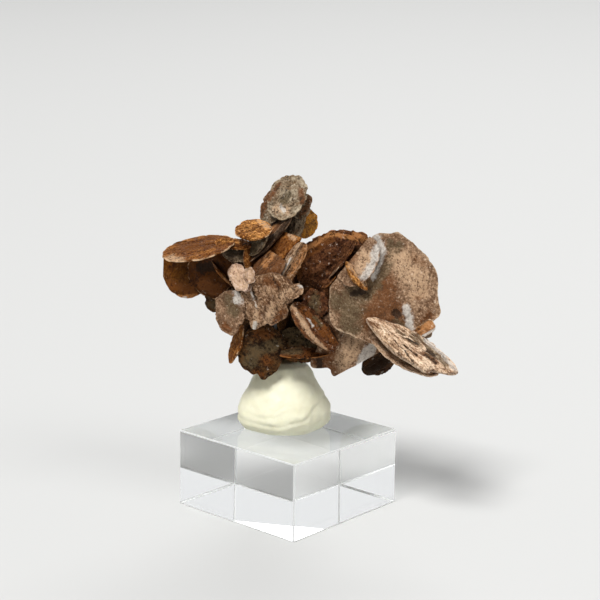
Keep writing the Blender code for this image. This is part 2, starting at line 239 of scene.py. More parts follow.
finishes = {
    "sandy": dict(
        deep=(0.078, 0.036, 0.016), body=(0.2, 0.104, 0.052), light=(0.62, 0.415, 0.26),
        rim=(0.68, 0.5, 0.33), stain=(0.125, 0.056, 0.024), stainLevel=0.51, curls=0.4, grain=0.62,
        streak=0.5, streakMix=0.18, paintedGlint=0.22, gloss=0.16, bump=0.9, roughness=(0.4, 0.72), cell=0.75,
        cellHeight=0.19, stretch=0.8, rib=0.07, step=0.5),
    "rust": dict(
        deep=(0.013, 0.004, 0.001), body=(0.092, 0.03, 0.009), light=(0.36, 0.16, 0.07),
        rim=(0.52, 0.2, 0.05), stain=(0.038, 0.01, 0.004), stainLevel=0.5, curls=0.55, grain=0.95,
        streak=0.6, streakMix=0.35, paintedGlint=0.32, gloss=0.07, bump=1.0, roughness=(0.32, 0.62), cell=0.9,
        cellHeight=0.34, stretch=0.65, rib=0.14, step=0.5),
    "golden": dict(
        deep=(0.034, 0.008, 0.001), body=(0.225, 0.074, 0.013), light=(0.7, 0.33, 0.095),
        rim=(0.74, 0.5, 0.3), stain=(0.11, 0.027, 0.005), stainLevel=0.5, curls=0.6, grain=0.62,
        streak=0.42, streakMix=0.55, paintedGlint=0.14, gloss=0.05, bump=0.9, roughness=(0.45, 0.75), cell=0.7,
        cellHeight=0.16, stretch=0.35, rib=0.12, step=0.4),
    "grey": dict(
        deep=(0.035, 0.022, 0.011), body=(0.225, 0.155, 0.088), light=(0.55, 0.46, 0.33),
        rim=(0.58, 0.43, 0.25), stain=(0.15, 0.07, 0.022), stainLevel=0.54, curls=0.75, grain=1.0,
        streak=0.6, streakMix=0.15, paintedGlint=0.32, gloss=0.2, bump=1.2, roughness=(0.24, 0.62), cell=0.95,
        cellHeight=0.42, stretch=0.8, rib=0.08, step=0.5),
    "pale": dict(
        deep=(0.115, 0.05, 0.02), body=(0.64, 0.4, 0.24), light=(0.92, 0.72, 0.52), rim=(0.86, 0.68, 0.52),
        stain=(0.25, 0.095, 0.034), stainLevel=0.57, curls=0.35, grain=0.8, streak=0.36, streakMix=0.85,
        paintedGlint=0.25, gloss=0.2, bump=0.9, roughness=(0.36, 0.66), cell=0.6, cellHeight=0.14, stretch=0.22,
        rib=0.18, step=0.45),
    "veined": dict(
        deep=(0.054, 0.023, 0.009), body=(0.205, 0.103, 0.046), light=(0.54, 0.35, 0.21),
        rim=(0.56, 0.38, 0.25), stain=(0.12, 0.047, 0.017), stainLevel=0.52, curls=0.3, grain=0.6,
        streak=0.26, streakMix=0.75, paintedGlint=0.25, gloss=0.16, bump=0.9, roughness=(0.34, 0.66), cell=0.7,
        cellHeight=0.18, stretch=0.26, rib=0.2, step=0.4),
    "dark": dict(
        deep=(0.009, 0.003, 0.001), body=(0.072, 0.029, 0.008), light=(0.185, 0.09, 0.03),
        rim=(0.34, 0.145, 0.035), stain=(0.024, 0.007, 0.002), stainLevel=0.48, curls=0.65, grain=1.0,
        streak=0.6, streakMix=0.45, paintedGlint=0.32, gloss=0.07, bump=1.1, roughness=(0.28, 0.58), cell=1.0,
        cellHeight=0.36, stretch=0.7, rib=0.12, step=0.5),
    "honey": dict(
        deep=(0.026, 0.006, 0.001), body=(0.088, 0.027, 0.002), light=(0.16, 0.06, 0.01),
        rim=(0.52, 0.32, 0.17), stain=(0.045, 0.012, 0.002), stainLevel=0.52, curls=0.2, grain=0.9,
        streak=0.6, streakMix=0.45, paintedGlint=0.1, gloss=0.06, bump=0.35, roughness=(0.22, 0.45), cell=1.1,
        cellHeight=0.07, stretch=0.5, rib=0.05, step=0.5),
    "blush": dict(
        deep=(0.2, 0.095, 0.052), body=(0.37, 0.225, 0.15), light=(0.66, 0.48, 0.37),
        rim=(0.92, 0.78, 0.66), stain=(0.42, 0.235, 0.145), stainLevel=0.56, curls=0.2, grain=0.8,
        streak=0.4, streakMix=0.45, paintedGlint=0.2, gloss=0.3, bump=0.7, roughness=(0.36, 0.62), cell=0.6,
        cellHeight=0.12, stretch=0.3, rib=0.16, step=0.4),
    "amber": dict(
        deep=(0.03, 0.01, 0.002), body=(0.58, 0.215, 0.014), light=(0.62, 0.28, 0.035),
        rim=(0.66, 0.36, 0.08), stain=(0.1, 0.045, 0.01), stainLevel=0.5, curls=0.4, grain=0.9, streak=0.6,
        streakMix=0.25, paintedGlint=0.2, gloss=0.2, bump=0.6, roughness=(0.2, 0.48), cell=0.8, cellHeight=0.14,
        stretch=0.6, rib=0.03, step=0.4),
}
# paintedGlint is the colour of the painted highlights
tints = {"frost": colour(0.68, 0.64, 0.58), "rust": colour(0.150, 0.050, 0.011),
         "olive": colour(0.110, 0.077, 0.038), "cream": colour(0.60, 0.392, 0.235),
         "gold": colour(0.50, 0.215, 0.070), "crackShadeAndStain": colour(0.018, 0.009, 0.004),
         "paintedGlint": colour(0.86, 0.80, 0.70)}
finishOrder = list(finishes)


def cloudMask(tree, spot, place, size, level, softness):
    return useEffect(tree, "clouds", spot,
                     {"Place": place, "Size": size, "Level": level, "Softness": softness})["Mask"]


def patchMask(tree, spot, place, patch, size, softness):
    return useEffect(tree, "patch", spot,
                     {"Place": place, "Patch": patch, "Size": size, "Softness": softness})["Mask"]


def makeCalciteMaterial(name, look):
    material, tree, shader = newMaterial(name + "Calcite")
    shades = {part: colour(*look[part]) for part in ("deep", "body", "light", "rim", "stain")}
    place = objectPlace(tree, (-2400, 0))
    bladePlace = readAttribute(tree, (-2400, -300), "bladePlace")
    reach, brightness, crest = readThree(tree, (-2400, -500), "bladeNote")
    frost, rust, crackShadeAndStain = readThree(tree, (-2400, -700), "bladeMarks")
    olive, cream, gold = readThree(tree, (-2400, -900), "bladeTints")
    rimPale = readAttribute(tree, (-2400, -1100), "rimPale", "Fac")
    shelter = readAttribute(tree, (-2400, -1300), "shelter", "Fac")

    # cloudy body colour and stains
    paler = cloudMask(tree, (-1900, 300), place, 2.4, 0.50, 0.16)
    tone = maths(tree, (-1700, 420), "MULTIPLY", paler, brightness)
    tone = maths(tree, (-1600, 420), "MULTIPLY", tone, 0.6)
    base = mixColour(tree, (-1500, 300), tone, shades["body"], shades["light"])
    stained = cloudMask(tree, (-1900, 100), place, 1.7, look["stainLevel"], 0.12)
    stained = maths(tree, (-1600, 100), "MULTIPLY", stained, 0.7)
    base = mixColour(tree, (-1300, 300), stained, base, shades["stain"])

    # broad tints
    spot = -1100
    tinted = 0.0
    for kind, patch, strength in (("rust", rust, 0.92), ("olive", olive, 0.85), ("cream", cream, 0.75),
                                  ("gold", gold, 0.85)):
        mask = patchMask(tree, (spot, 700), place, patch, 1.4, 0.30)
        mask = maths(tree, (spot, 520), "MULTIPLY", mask, strength)
        base = mixColour(tree, (spot, 300), mask, base, tints[kind])
        if kind in ("rust", "olive"):
            tinted = maths(tree, (spot, 400), "MAXIMUM", tinted, mask)
        spot += 160

    # growth streaks and the sugary grain: hollows go dark, crests go pale
    streaks = useEffect(tree, "lines", (-1900, -100),
                        {"Place": bladePlace, "Spacing": look["streak"], "Wobble": 0.9})["Value"]
    fine = noiseTexture(tree, (-1900, -300), place, 3.2, 4.0, roughness=0.70)["Fac"]
    grain = useEffect(tree, "grain", (-1900, -500), {"Place": place, "Size": look["grain"]})
    mottle = maths(tree, (-1650, -100), "MULTIPLY_ADD", crest, 0.16, fine)
    curl = maths(tree, (-1650, -280), "SUBTRACT", grain["Crest"], 0.45)
    mottle = maths(tree, (-1500, -100), "MULTIPLY_ADD", curl, 0.22 * look["curls"], mottle)
    line = maths(tree, (-1500, -280), "SUBTRACT", streaks, 0.5)
    mottle = maths(tree, (-1350, -100), "MULTIPLY_ADD", line, 1.5 * look["streakMix"], mottle)
    glow = maths(tree, (-1350, -280), "MULTIPLY_ADD", grain["Facet"], 0.12, -0.14)
    mottle = maths(tree, (-1200, -100), "ADD", mottle, glow)
    hollow = ramp(tree, (-1000, -100), mottle, 0.30, 0.50, 0.85, 0.0)
    base = mixColour(tree, (-450, 300), hollow, base, shades["deep"])
    pale = ramp(tree, (-1000, -300), mottle, 0.52, 0.72, 0.0, 1.1)
    pale = maths(tree, (-800, -300), "MULTIPLY", pale, brightness, clamp=True)
    clear = maths(tree, (-800, -450), "MULTIPLY_ADD", tinted, -0.85, 1.0)
    pale = maths(tree, (-650, -300), "MULTIPLY", pale, clear)
    base = mixColour(tree, (-250, 300), pale, base, shades["light"])

    # painted glints: a few facets get a near-white base colour, as painted highlights
    paintedGlints = ramp(tree, (-1000, -1700), grain["Facet"], 0.945, 0.965, 0.0, look["paintedGlint"])
    broken = ramp(tree, (-1000, -1850), fine, 0.50, 0.58)
    paintedGlints = maths(tree, (-800, -1750), "MULTIPLY", paintedGlints, broken)
    base = mixColour(tree, (-150, 450), paintedGlints, base, tints["paintedGlint"])

    # frost on the crests; the pale rim, painted light through the thin rim; dark marks, painted shade in the
    # cracks and pits and dark stain elsewhere; painted shade where blades shelter each other
    frosty = patchMask(tree, (-1100, -600), place, frost, 0.9, 0.30)
    catch = ramp(tree, (-900, -600), mottle, 0.30, 0.58, 0.45, 0.80)
    frosty = maths(tree, (-700, -600), "MULTIPLY", frosty, catch)
    base = mixColour(tree, (-50, 300), frosty, base, tints["frost"])
    # painted rim light: the thin rim turns pale, standing in for light shining through the thin calcite
    paintedRimGlow = useEffect(tree, "rim", (-1100, -800),
                     {"Place": place, "Reach": reach, "Start": 0.955, "Ragged": 0.14})["Mask"]
    paintedRimGlow = maths(tree, (-900, -800), "MULTIPLY", paintedRimGlow, rimPale)
    base = mixColour(tree, (150, 300), paintedRimGlow, base, shades["rim"])
    # dark marks: painted shade along the cracks and pits they follow, dark stain elsewhere
    crackShadeMask = patchMask(tree, (-1100, -1000), place, crackShadeAndStain, 0.6, 0.15)
    crackShadeMask = maths(tree, (-900, -1000), "MULTIPLY", crackShadeMask, 0.85)
    base = mixColour(tree, (350, 300), crackShadeMask, base, tints["crackShadeAndStain"])
    # painted shade: the colour goes towards deep where blades shelter each other
    paintedCreviceShade = ramp(tree, (-900, -1200), shelter, 0.20, 0.85, 0.95, 0.0)
    base = mixColour(tree, (550, 300), paintedCreviceShade, base, shades["deep"])

    # facets glint: some cells are nearly polished
    smoothest, roughest = look["roughness"]
    rough = ramp(tree, (300, -100), grain["Facet"], 0.0, 1.0, roughest, smoothest)
    glint = ramp(tree, (300, -280), grain["Facet"], 0.88, 0.95, 0.0, 0.30)
    rough = maths(tree, (500, -100), "SUBTRACT", rough, glint, clamp=True)
    height = maths(tree, (-900, -1400), "MULTIPLY_ADD", streaks, 1.6 * look["streakMix"], grain["Height"])
    height = maths(tree, (-700, -1400), "MULTIPLY_ADD", fine, 1.1, height)
    bump = addNode(tree, "ShaderNodeBump", (300, -500),
                   {"Strength": 1.0, "Distance": 0.18 * mm * look["bump"], "Height": height})
    fillInputs(tree, shader, {"Base Color": base, "Roughness": rough, "Normal": bump.outputs["Normal"],
                              "IOR": 1.55, "Specular IOR Level": look["gloss"]})
    return material


calciteMaterials = [makeCalciteMaterial(name, finishes[name]) for name in finishOrder]
print("calcite finishes ready")


# the crystals, in millimetres and degrees; at, face (azimuth, elevation, roll) and size are as in the solids
# point: 2 for an oval, less for pointed ends, more for a squarer plate; fullness: reach of the flat middle
# flow: direction of the growth lines; bright: how pale the face is; rim: strength of the painted rim light;
# ragged: depth of rim chips
# breaks: straight cuts (direction, distance); corners: bumps of the outline (direction, spread, height)
# ridges (from, to, width, rise) and marks (kind, from, to, width) are on the front of a blade only
# mesh: how fine its mesh is, where that differs from the rest of its group

frontBlades = {
    "wideDisc": dict(
        at=(14.8, -4.0, 37.3), face=(5, 15, 88), size=(17.8, 17.4, 2.4), finish="sandy", bright=0.8,
        rim=0.55, ragged=0.5, breaks=((51, 6.9),),
        corners=((-12, 7, 0.6), (-112, 9, 1.2), (-133, 8, 1.7), (121, 15, 1.3)),
        ridges=(((8.6, 1.3), (5.9, 0.4), 0.5, 0.3), ((5.9, 0.4), (4.1, 0.8), 0.5, 0.3),
            ((4.1, 0.8), (1.8, 2.0), 0.45, 0.22), ((7.5, -1.9), (4.1, -0.4), 0.8, -0.25),
            ((4.1, -0.4), (-0.5, 2.5), 0.9, -0.32), ((-0.2, 2.8), (-0.6, 5.2), 1.3, -0.6),
            ((-3.5, -2.0), (-3.7, -2.0), 0.65, -0.65), ((-2.7, -3.6), (-6.0, -4.3), 0.35, 0.18),
            ((-6.9, -5.3), (-3.5, -7.6), 0.4, -0.12), ((-2.2, -5.6), (-5.0, -3.2), 0.3, -0.15)),
        marks=(("frost", (8.4, 1.4), (5.9, 0.4), 0.55), ("frost", (5.9, 0.4), (2.0, 1.9), 0.42),
            ("rust", (5.4, -4.2), (4.2, -5.6), 0.8), ("rust", (0.6, -6.2), (-0.6, -5.4), 0.9),
            ("olive", (6.6, -0.6), (7.6, -0.8), 0.6), ("frost", (-2.7, -3.6), (-5.8, -4.3), 0.6),
            ("olive", (7.2, -2.2), (4.1, -0.6), 0.8), ("olive", (3.6, -0.2), (-0.5, 2.5), 0.9),
            ("olive", (-0.8, 3.2), (-2.0, 7.0), 1.7), ("olive", (-3.0, 5.4), (-6.0, 5.4), 1.6),
            ("rust", (0.9, 0.6), (-4.4, 1.0), 2.4), ("rust", (-3.0, -1.4), (-5.4, -1.6), 1.6),
            ("olive", (-5.2, -2.2), (-6.2, -3.2), 0.8), ("rust", (-5.2, -3.2), (-6.6, -1.0), 0.8),
            ("rust", (-6.6, -5.6), (-3.6, -7.4), 0.7), ("crackShadeAndStain", (-3.5, -2.0), (-3.7, -2.0), 0.7),
            ("crackShadeAndStain", (0.0, 3.2), (-0.8, 4.8), 0.7), ("cream", (4.4, -3.0), (1.0, -5.6), 2.0))),
    "innerPlate": dict(
        at=(10.7, -4.2, 42.0), face=(-12, 20, 65), size=(8.6, 6.2, 1.6), finish="sandy", point=2.4,
        bright=0.75, rim=0.1, ragged=1.2, breaks=((80, 1.0),),
        marks=(("frost", (3.2, -1.6), (1.4, -2.3), 0.6), ("frost", (1.4, -2.3), (-1.8, -2.2), 0.55),
            ("cream", (1.2, -0.6), (-0.6, -1.0), 1.2), ("rust", (-1.4, 0.2), (0.6, 0.5), 0.6))),
    "brownDisc": dict(
        at=(7.3, 0.5, 39.1), face=(-18, 6, 13), size=(13.2, 13.2, 2.2), finish="rust", flow=25, rim=0.35,
        breaks=((145, 6.6),),
        ridges=(((1.0, 1.0), (4.6, 3.6), 0.5, 0.25), ((-3.0, -1.0), (2.0, 2.6), 0.6, -0.3)),
        marks=(("gold", (0.4, 6.3), (-5.6, 3.9), 0.4), ("rust", (0.4, 5.6), (-5.2, 3.2), 0.7),
            ("gold", (-5.6, 3.9), (-7.6, 0.5), 0.4), ("rust", (-5.2, 3.4), (-7.0, 0.0), 0.9),
            ("gold", (5.8, 4.4), (0.7, 6.2), 0.35))),
    "brownShoulder": dict(
        at=(9.6, 0.1, 41.5), face=(-14, 8, 30), size=(9.4, 9.0, 1.8), finish="rust", flow=30, rim=0.3,
        ragged=1.4, marks=(("gold", (2.6, 3.0), (4.2, 0.0), 0.5),)),
    "leafUpper": dict(
        at=(9.5, -2.1, 43.0), face=(-88, 30, 0), size=(3.2, 3.6, 0.5), finish="rust", rim=0.8),
    "leafMiddle": dict(
        at=(8.4, -2.2, 41.6), face=(-82, 33, 0), size=(3.4, 4.4, 0.5), finish="rust", rim=0.9),
    "leafLower": dict(
        at=(7.4, -2.0, 40.1), face=(-96, 38, 0), size=(3.2, 4.0, 0.5), finish="sandy", rim=0.9),
    "leafFoot": dict(at=(6.3, -2.2, 38.2), face=(-80, 42, 0), size=(2.8, 3.2, 0.5), finish="rust", rim=0.7),
    "middlePlate": dict(
        at=(4.2, -3.5, 34.8), face=(-26, 20, 56), size=(5.0, 5.0, 1.6), finish="rust", bright=0.3,
        marks=(("olive", (0.4, 0.4), (-0.6, -0.4), 1.0),)),
    "smallLens": dict(
        at=(10.2, -5.4, 39.7), face=(50, 34, -72), size=(5.8, 2.8, 1.1), finish="golden", point=1.6,
        bright=1.0, rim=0.6, marks=(("cream", (-1.6, 0.2), (1.6, 0.2), 0.6),)),
    "cornerPlate": dict(
        at=(20.8, -5.9, 31.1), face=(-16, 24, 36), size=(5.0, 2.3, 1.4), finish="sandy", point=4.0,
        bright=0.4, rim=0.9, ragged=1.5,
        ridges=(((-2.2, 0.3), (2.2, 0.3), 0.16, -0.3), ((-2.2, -0.35), (2.2, -0.35), 0.14, -0.25)),
        marks=(("gold", (-1.6, 0.0), (1.8, 0.0), 0.7), ("olive", (-0.4, 0.4), (1.6, 0.4), 0.5),
            ("frost", (-2.4, -0.95), (2.2, -0.95), 0.2), ("frost", (-2.4, 0.95), (-0.6, 0.95), 0.2))),
    "lowerFan": dict(
        at=(9.6, -4.0, 29.5), face=(1, 0, -1), size=(11.6, 11.2, 2.2), finish="sandy", flow=72, bright=0.85,
        rim=0.2, breaks=((-59, 4.3),), corners=((-111, 8, 1.2), (-142, 12, 2.1)),
        ridges=(((1.4, 1.4), (-0.8, -5.0), 0.35, 0.16), ((2.6, 1.0), (0.8, -4.6), 0.3, 0.14),
            ((0.2, 1.0), (-2.2, -4.8), 0.3, -0.16), ((-4.8, -3.6), (-4.8, -4.6), 0.5, -0.35)),
        marks=(("frost", (3.2, -1.4), (1.8, -4.0), 0.7), ("frost", (4.2, -0.9), (3.4, -2.4), 0.5),
            ("olive", (2.6, 1.4), (0.6, 2.6), 1.2), ("rust", (-3.0, 0.6), (-3.3, -2.9), 1.1),
            ("cream", (0.6, 0.2), (-0.6, -3.6), 1.3), ("crackShadeAndStain", (-4.8, -3.8), (-4.6, -4.8), 0.6),
            ("rust", (-5.6, -3.4), (-3.2, -5.4), 1.1))),
    "slantLens": dict(
        at=(3.6, -7.0, 31.6), face=(50, 44, -70), size=(10.6, 6.4, 2.0), finish="rust", point=1.8, flow=-10,
        bright=0.4, rim=0.15, ragged=1.5, breaks=((8, 4.7),),
        ridges=(((-5.0, -0.3), (0.1, -2.1), 0.35, 0.12),),
        marks=(("cream", (-4.8, -0.4), (0.1, -2.3), 0.55), ("cream", (0.1, -2.3), (3.9, -2.3), 0.45),
            ("rust", (-3.2, 0.6), (1.6, 0.0), 0.9), ("rust", (1.4, 1.2), (3.6, 0.6), 0.9),
            ("olive", (-0.8, 1.3), (0.4, 1.0), 0.5), ("frost", (-1.6, -0.3), (-0.3, -0.7), 0.22),
            ("crackShadeAndStain", (2.7, 1.9), (4.2, 1.6), 0.5))),
    "diagonalBlade": dict(
        at=(19.1, -9.0, 29.0), face=(37, 56, -56), size=(17.2, 7.4, 2.2), finish="pale", mesh="detailed",
        point=1.42, fullness=4.5, flow=-18, bright=1.0, rim=0.35, ragged=1.8, breaks=((-43, 5.8),),
        corners=((-43, 12, 1.1),),
        ridges=(((-5.4, 0.5), (-1.9, -0.9), 0.24, -0.6), ((-1.9, -0.9), (1.3, -1.9), 0.22, -0.6),
            ((-3.2, -1.3), (1.5, -3.3), 0.18, -0.45), ((-0.6, 1.8), (3.5, 0.4), 0.4, -0.45),
            ((2.3, -0.8), (4.6, -1.1), 0.24, -0.45), ((-1.4, 2.9), (5.8, 1.2), 0.2, -0.4),
            ((-5.8, -1.6), (-0.6, -3.0), 0.18, -0.35), ((1.2, -0.2), (6.0, -1.2), 0.35, 0.2),
            ((-4.6, -2.4), (1.0, -4.4), 0.18, -0.3), ((3.0, 2.2), (7.2, 0.2), 0.2, -0.3)),
        marks=(("rust", (-8.2, -0.6), (-6.4, -0.8), 0.6), ("cream", (-6.2, -1.8), (1.8, -4.2), 1.2),
            ("crackShadeAndStain", (-0.8, 1.9), (3.5, 0.5), 0.35), ("crackShadeAndStain", (-5.4, 0.5), (-1.9, -0.9), 0.22),
            ("crackShadeAndStain", (-1.9, -0.9), (1.3, -1.9), 0.22), ("crackShadeAndStain", (-3.2, -1.3), (1.5, -3.3), 0.16),
            ("crackShadeAndStain", (2.3, -0.8), (4.6, -1.1), 0.2), ("olive", (-0.4, 2.0), (5.4, 0.2), 1.1),
            ("frost", (1.5, 3.0), (7.4, 0.4), 0.6), ("rust", (2.3, -0.6), (4.4, -1.0), 0.5),
            ("rust", (4.8, -2.6), (3.8, -4.6), 0.4))),
    "diagonalTop": dict(
        at=(16.9, -8.3, 31.1), face=(34, 55, -52), size=(10.4, 3.6, 0.9), finish="pale", mesh="detailed",
        point=1.7, fullness=5.0, flow=-14, bright=0.7, rim=0.3, ragged=2.0,
        ridges=(((-3.4, -0.6), (2.6, 0.4), 0.2, -0.3), ((-1.0, 1.0), (3.0, 0.9), 0.18, -0.25)),
        marks=(("rust", (-3.8, -1.0), (-2.2, -0.9), 0.5), ("olive", (0.4, 0.6), (3.2, 0.4), 0.9),
            ("crackShadeAndStain", (1.4, 0.2), (3.4, 0.0), 0.35))),
    "diagonalUnder": dict(
        at=(17.9, -7.4, 27.6), face=(23, 56, -51), size=(13.0, 6.0, 1.8), finish="pale", point=1.7,
        flow=-14, bright=0.4),
    "hiddenSpur": dict(
        at=(14.5, -1.4, 24.9), face=(-3, -15, 40), size=(6.4, 4.2, 1.8), finish="dark", bright=0.0, rim=0.0,
        marks=(("crackShadeAndStain", (-2.0, 0.0), (1.0, 0.0), 1.2),)),
    "fanLower": dict(
        at=(-3.5, -6.0, 36.1), face=(-6, 0, 37), size=(9.6, 8.2, 2.4), finish="veined", flow=82, bright=0.8,
        rim=0.1, corners=((-151, 9, 0.8), (-52, 12, -1.0)),
        ridges=(((-1.2, 2.6), (-2.0, 0.1), 0.22, 0.2), ((-2.0, 0.1), (-4.0, -2.2), 0.22, 0.14),
            ((-0.9, 2.4), (-1.6, 0.3), 0.14, -0.22), ((2.8, 2.2), (2.6, 0.2), 0.16, -0.25),
            ((2.1, 1.3), (-0.2, -3.0), 0.16, -0.2), ((0.9, 1.4), (-1.3, -3.3), 0.14, -0.14),
            ((1.8, 1.0), (0.2, -3.2), 0.2, 0.1)),
        marks=(("frost", (-1.2, 2.6), (-2.0, 0.1), 0.15), ("cream", (-2.0, 0.1), (-4.0, -2.2), 0.45),
            ("frost", (-3.7, -1.8), (-4.4, -2.6), 0.25), ("crackShadeAndStain", (-1.0, 2.5), (-1.7, 0.3), 0.1),
            ("crackShadeAndStain", (2.8, 2.2), (2.6, 0.2), 0.12), ("rust", (0.8, -3.1), (-0.6, -3.5), 0.55),
            ("cream", (0.0, -1.3), (-2.0, -2.8), 0.6), ("rust", (1.8, 2.4), (2.6, 1.0), 0.7),
            ("cream", (2.4, -0.6), (4.2, -0.9), 0.5))),
    "fanUpper": dict(
        at=(-2.2, -3.5, 42.2), face=(-38, 35, 66), size=(11.4, 7.4, 1.8), finish="golden", bright=0.45,
        rim=0.1, breaks=((-87, 2.0), (17, 4.2)),
        ridges=(((-3.0, -1.4), (4.0, -1.6), 0.25, 0.14), ((-3.0, -0.4), (3.6, -0.6), 0.2, -0.14),
            ((-3.2, 0.6), (3.4, 0.5), 0.18, -0.16), ((-2.8, 1.3), (3.0, 1.1), 0.2, 0.12)),
        marks=(("cream", (4.2, -1.0), (4.0, 0.6), 0.3), ("rust", (-3.0, 0.6), (2.4, 0.4), 1.5),
            ("gold", (-2.6, -0.6), (0.4, -1.0), 0.6))),
    "fanEdge": dict(
        at=(-0.3, -4.6, 41.0), face=(24, -4, 61), size=(9.4, 3.0, 2.2), finish="veined", point=2.8, flow=-6,
        bright=0.8, rim=0.2,
        ridges=(((-3.8, 0.9), (4.2, 0.6), 0.22, 0.2), ((-3.6, 0.4), (4.2, 0.1), 0.14, -0.3)),
        marks=(("frost", (-3.6, 1.15), (1.2, 0.9), 0.13), ("cream", (-3.6, 0.9), (4.4, 0.5), 0.3),
            ("crackShadeAndStain", (-3.4, 0.4), (2.6, 0.25), 0.09), ("gold", (-3.6, -0.6), (4.0, -0.8), 0.8))),
    "fanJoin": dict(
        at=(-4.0, -5.0, 39.7), face=(-28, 22, 60), size=(8.8, 5.4, 1.8), finish="veined", point=3.2,
        flow=-8, bright=0.4, rim=0.1, ragged=1.5, breaks=((6, 3.7), (180, 3.3), (78, 2.4)),
        ridges=(((-3.4, 0.8), (3.8, 0.6), 0.2, 0.12), ((-3.0, -0.9), (3.8, -1.0), 0.18, -0.14),
            ((-3.0, 1.7), (3.6, 1.5), 0.16, -0.16)),
        marks=(("gold", (1.6, 1.0), (4.0, 1.0), 0.7), ("rust", (0.2, -0.6), (3.8, -1.2), 1.2),
            ("rust", (-1.0, 1.6), (1.6, 1.8), 0.7), ("cream", (-3.4, -1.6), (-1.0, -1.4), 0.6))),
    "wedgeTip": dict(
        at=(0.5, -6.3, 37.3), face=(19, 38, 25), size=(3.6, 2.4, 1.4), finish="veined", bright=0.9,
        marks=(("frost", (1.2, 0.2), (1.6, 0.0), 0.25),)),
    "paleTuft": dict(
        at=(-8.1, -6.0, 39.4), face=(-28, 21, -50), size=(5.0, 3.0, 1.0), finish="blush", mesh="detailed",
        point=2.6, fullness=5.0, flow=30, bright=0.9, rim=0.6, ragged=1.8,
        corners=((0, 14, 0.3), (120, 16, 0.4)),
        ridges=(((-2.0, 0.6), (1.6, 0.2), 0.18, -0.25), ((-1.2, -0.9), (1.8, -0.6), 0.2, 0.2)),
        marks=(("cream", (-1.0, 0.0), (1.0, 0.0), 1.4),)),
    "paleTuftLow": dict(
        at=(-7.6, -6.3, 38.3), face=(-12, 22, -25), size=(3.4, 1.9, 0.9), finish="blush", mesh="detailed",
        point=2.4, bright=0.8, rim=0.6, ragged=1.6),
    "paleTuftSmall": dict(
        at=(-6.6, -6.9, 39.9), face=(43, 22, 72), size=(3.2, 2.6, 0.9), finish="blush", mesh="detailed",
        point=1.5, flow=90, bright=0.9, rim=0.8, ragged=1.6,
        ridges=(((-1.2, 0.2), (1.2, 0.1), 0.18, -0.25),), marks=(("cream", (-0.6, 0.0), (0.6, 0.0), 1.2),)),
    "lowerLeftDisc": dict(
        at=(-9.2, -5.6, 33.9), face=(-16, 6, 82), size=(7.2, 5.2, 2.0), finish="sandy", flow=50,
        bright=0.65, rim=0.2, ragged=1.6, breaks=((128, 2.75),), corners=((-160, 14, 0.5), (60, 16, 0.4)),
        ridges=(((-1.6, 1.6), (-1.7, -1.6), 0.16, -0.16), ((-2.2, 1.4), (-2.4, -1.2), 0.14, -0.14)),
        marks=(("frost", (3.1, -0.9), (2.0, -0.9), 0.7), ("olive", (1.6, 0.6), (0.2, -0.8), 1.0),
            ("rust", (-2.4, 0.6), (-2.9, -0.4), 0.5))),
    "shelfDisc": dict(
        at=(-14.6, -3.0, 43.1), face=(-55, 77, 62), size=(11.7, 11.6, 1.4), finish="golden", bright=0.3,
        rim=1.0, ragged=1.3,
        marks=(("rust", (-2.0, 2.4), (2.0, 3.4), 1.2), ("rust", (-2.6, 0.4), (2.4, -0.6), 1.6),
            ("cream", (-4.6, -1.6), (-3.4, -4.2), 0.9))),
    "shelfArm": dict(
        at=(-9.0, -3.3, 44.1), face=(0, 56, -9), size=(6.6, 2.5, 1.0), finish="golden", point=2.4,
        bright=0.8, rim=0.8, ragged=1.4),
    "armDrop": dict(
        at=(-6.9, -3.7, 42.2), face=(40, 8, 84), size=(4.0, 1.9, 0.9), finish="golden", point=1.7,
        bright=0.6),
    "armWeb": dict(
        at=(-8.7, -2.8, 42.3), face=(-12, 34, -8), size=(4.4, 2.8, 1.2), finish="grey", bright=0.6,
        marks=(("olive", (-1.0, 0.3), (1.4, 0.2), 0.8),)),
    "hangingDiscLeft": dict(
        at=(-16.8, 1.0, 39.2), face=(-10, 7, 3), size=(8.0, 9.4, 1.4), finish="honey", flow=60, rim=0.15,
        ragged=0.5, breaks=((177, 3.75),), corners=((-61, 16, 0.3),),
        marks=(("gold", (-1.4, -4.4), (1.6, -4.4), 0.3), ("rust", (-2.8, -2.6), (1.8, -3.8), 0.9),
            ("frost", (-0.4, -4.7), (-0.2, -4.7), 0.25))),
    "hangingDiscRight": dict(
        at=(-12.7, -0.9, 39.5), face=(-10, -1, 4), size=(7.6, 8.8, 1.4), finish="honey", flow=50,
        bright=0.0, rim=1.0, ragged=0.5, corners=((-75, 16, 0.6),),
        marks=(("rust", (-1.4, -2.2), (1.4, -3.4), 0.9), ("crackShadeAndStain", (-1.6, 0.6), (1.0, 0.6), 0.9))),
    "edgeBlade": dict(
        at=(-10.9, -1.0, 38.8), face=(88, 41, -96), size=(6.0, 4.0, 0.9), finish="golden", bright=0.4),
    "oliveDisc": dict(
        at=(-11.0, 1.5, 34.4), face=(-10, 5, 22), size=(6.0, 5.2, 1.4), finish="honey",
        marks=(("olive", (-1.0, 0.0), (1.0, 0.0), 1.6),)),
    "towerBlade": dict(
        at=(-0.6, 0.0, 51.2), face=(-22, 31, 76), size=(8.0, 6.6, 1.6), finish="grey", mesh="detailed",
        bright=0.7, rim=0.3, ragged=1.5,
        ridges=(((0.0, -0.1), (-0.8, 0.1), 0.6, -0.4), ((0.4, 0.8), (-1.0, 1.0), 0.4, 0.2)),
        marks=(("olive", (0.4, -0.2), (-0.9, 0.0), 0.6), ("cream", (-2.5, 0.6), (-2.4, -0.8), 0.8),
            ("rust", (1.8, -1.8), (0.2, -2.9), 0.5), ("rust", (-1.2, 2.7), (1.4, 2.2), 0.5),
            ("frost", (-1.9, 0.2), (-2.4, -0.8), 0.3))),
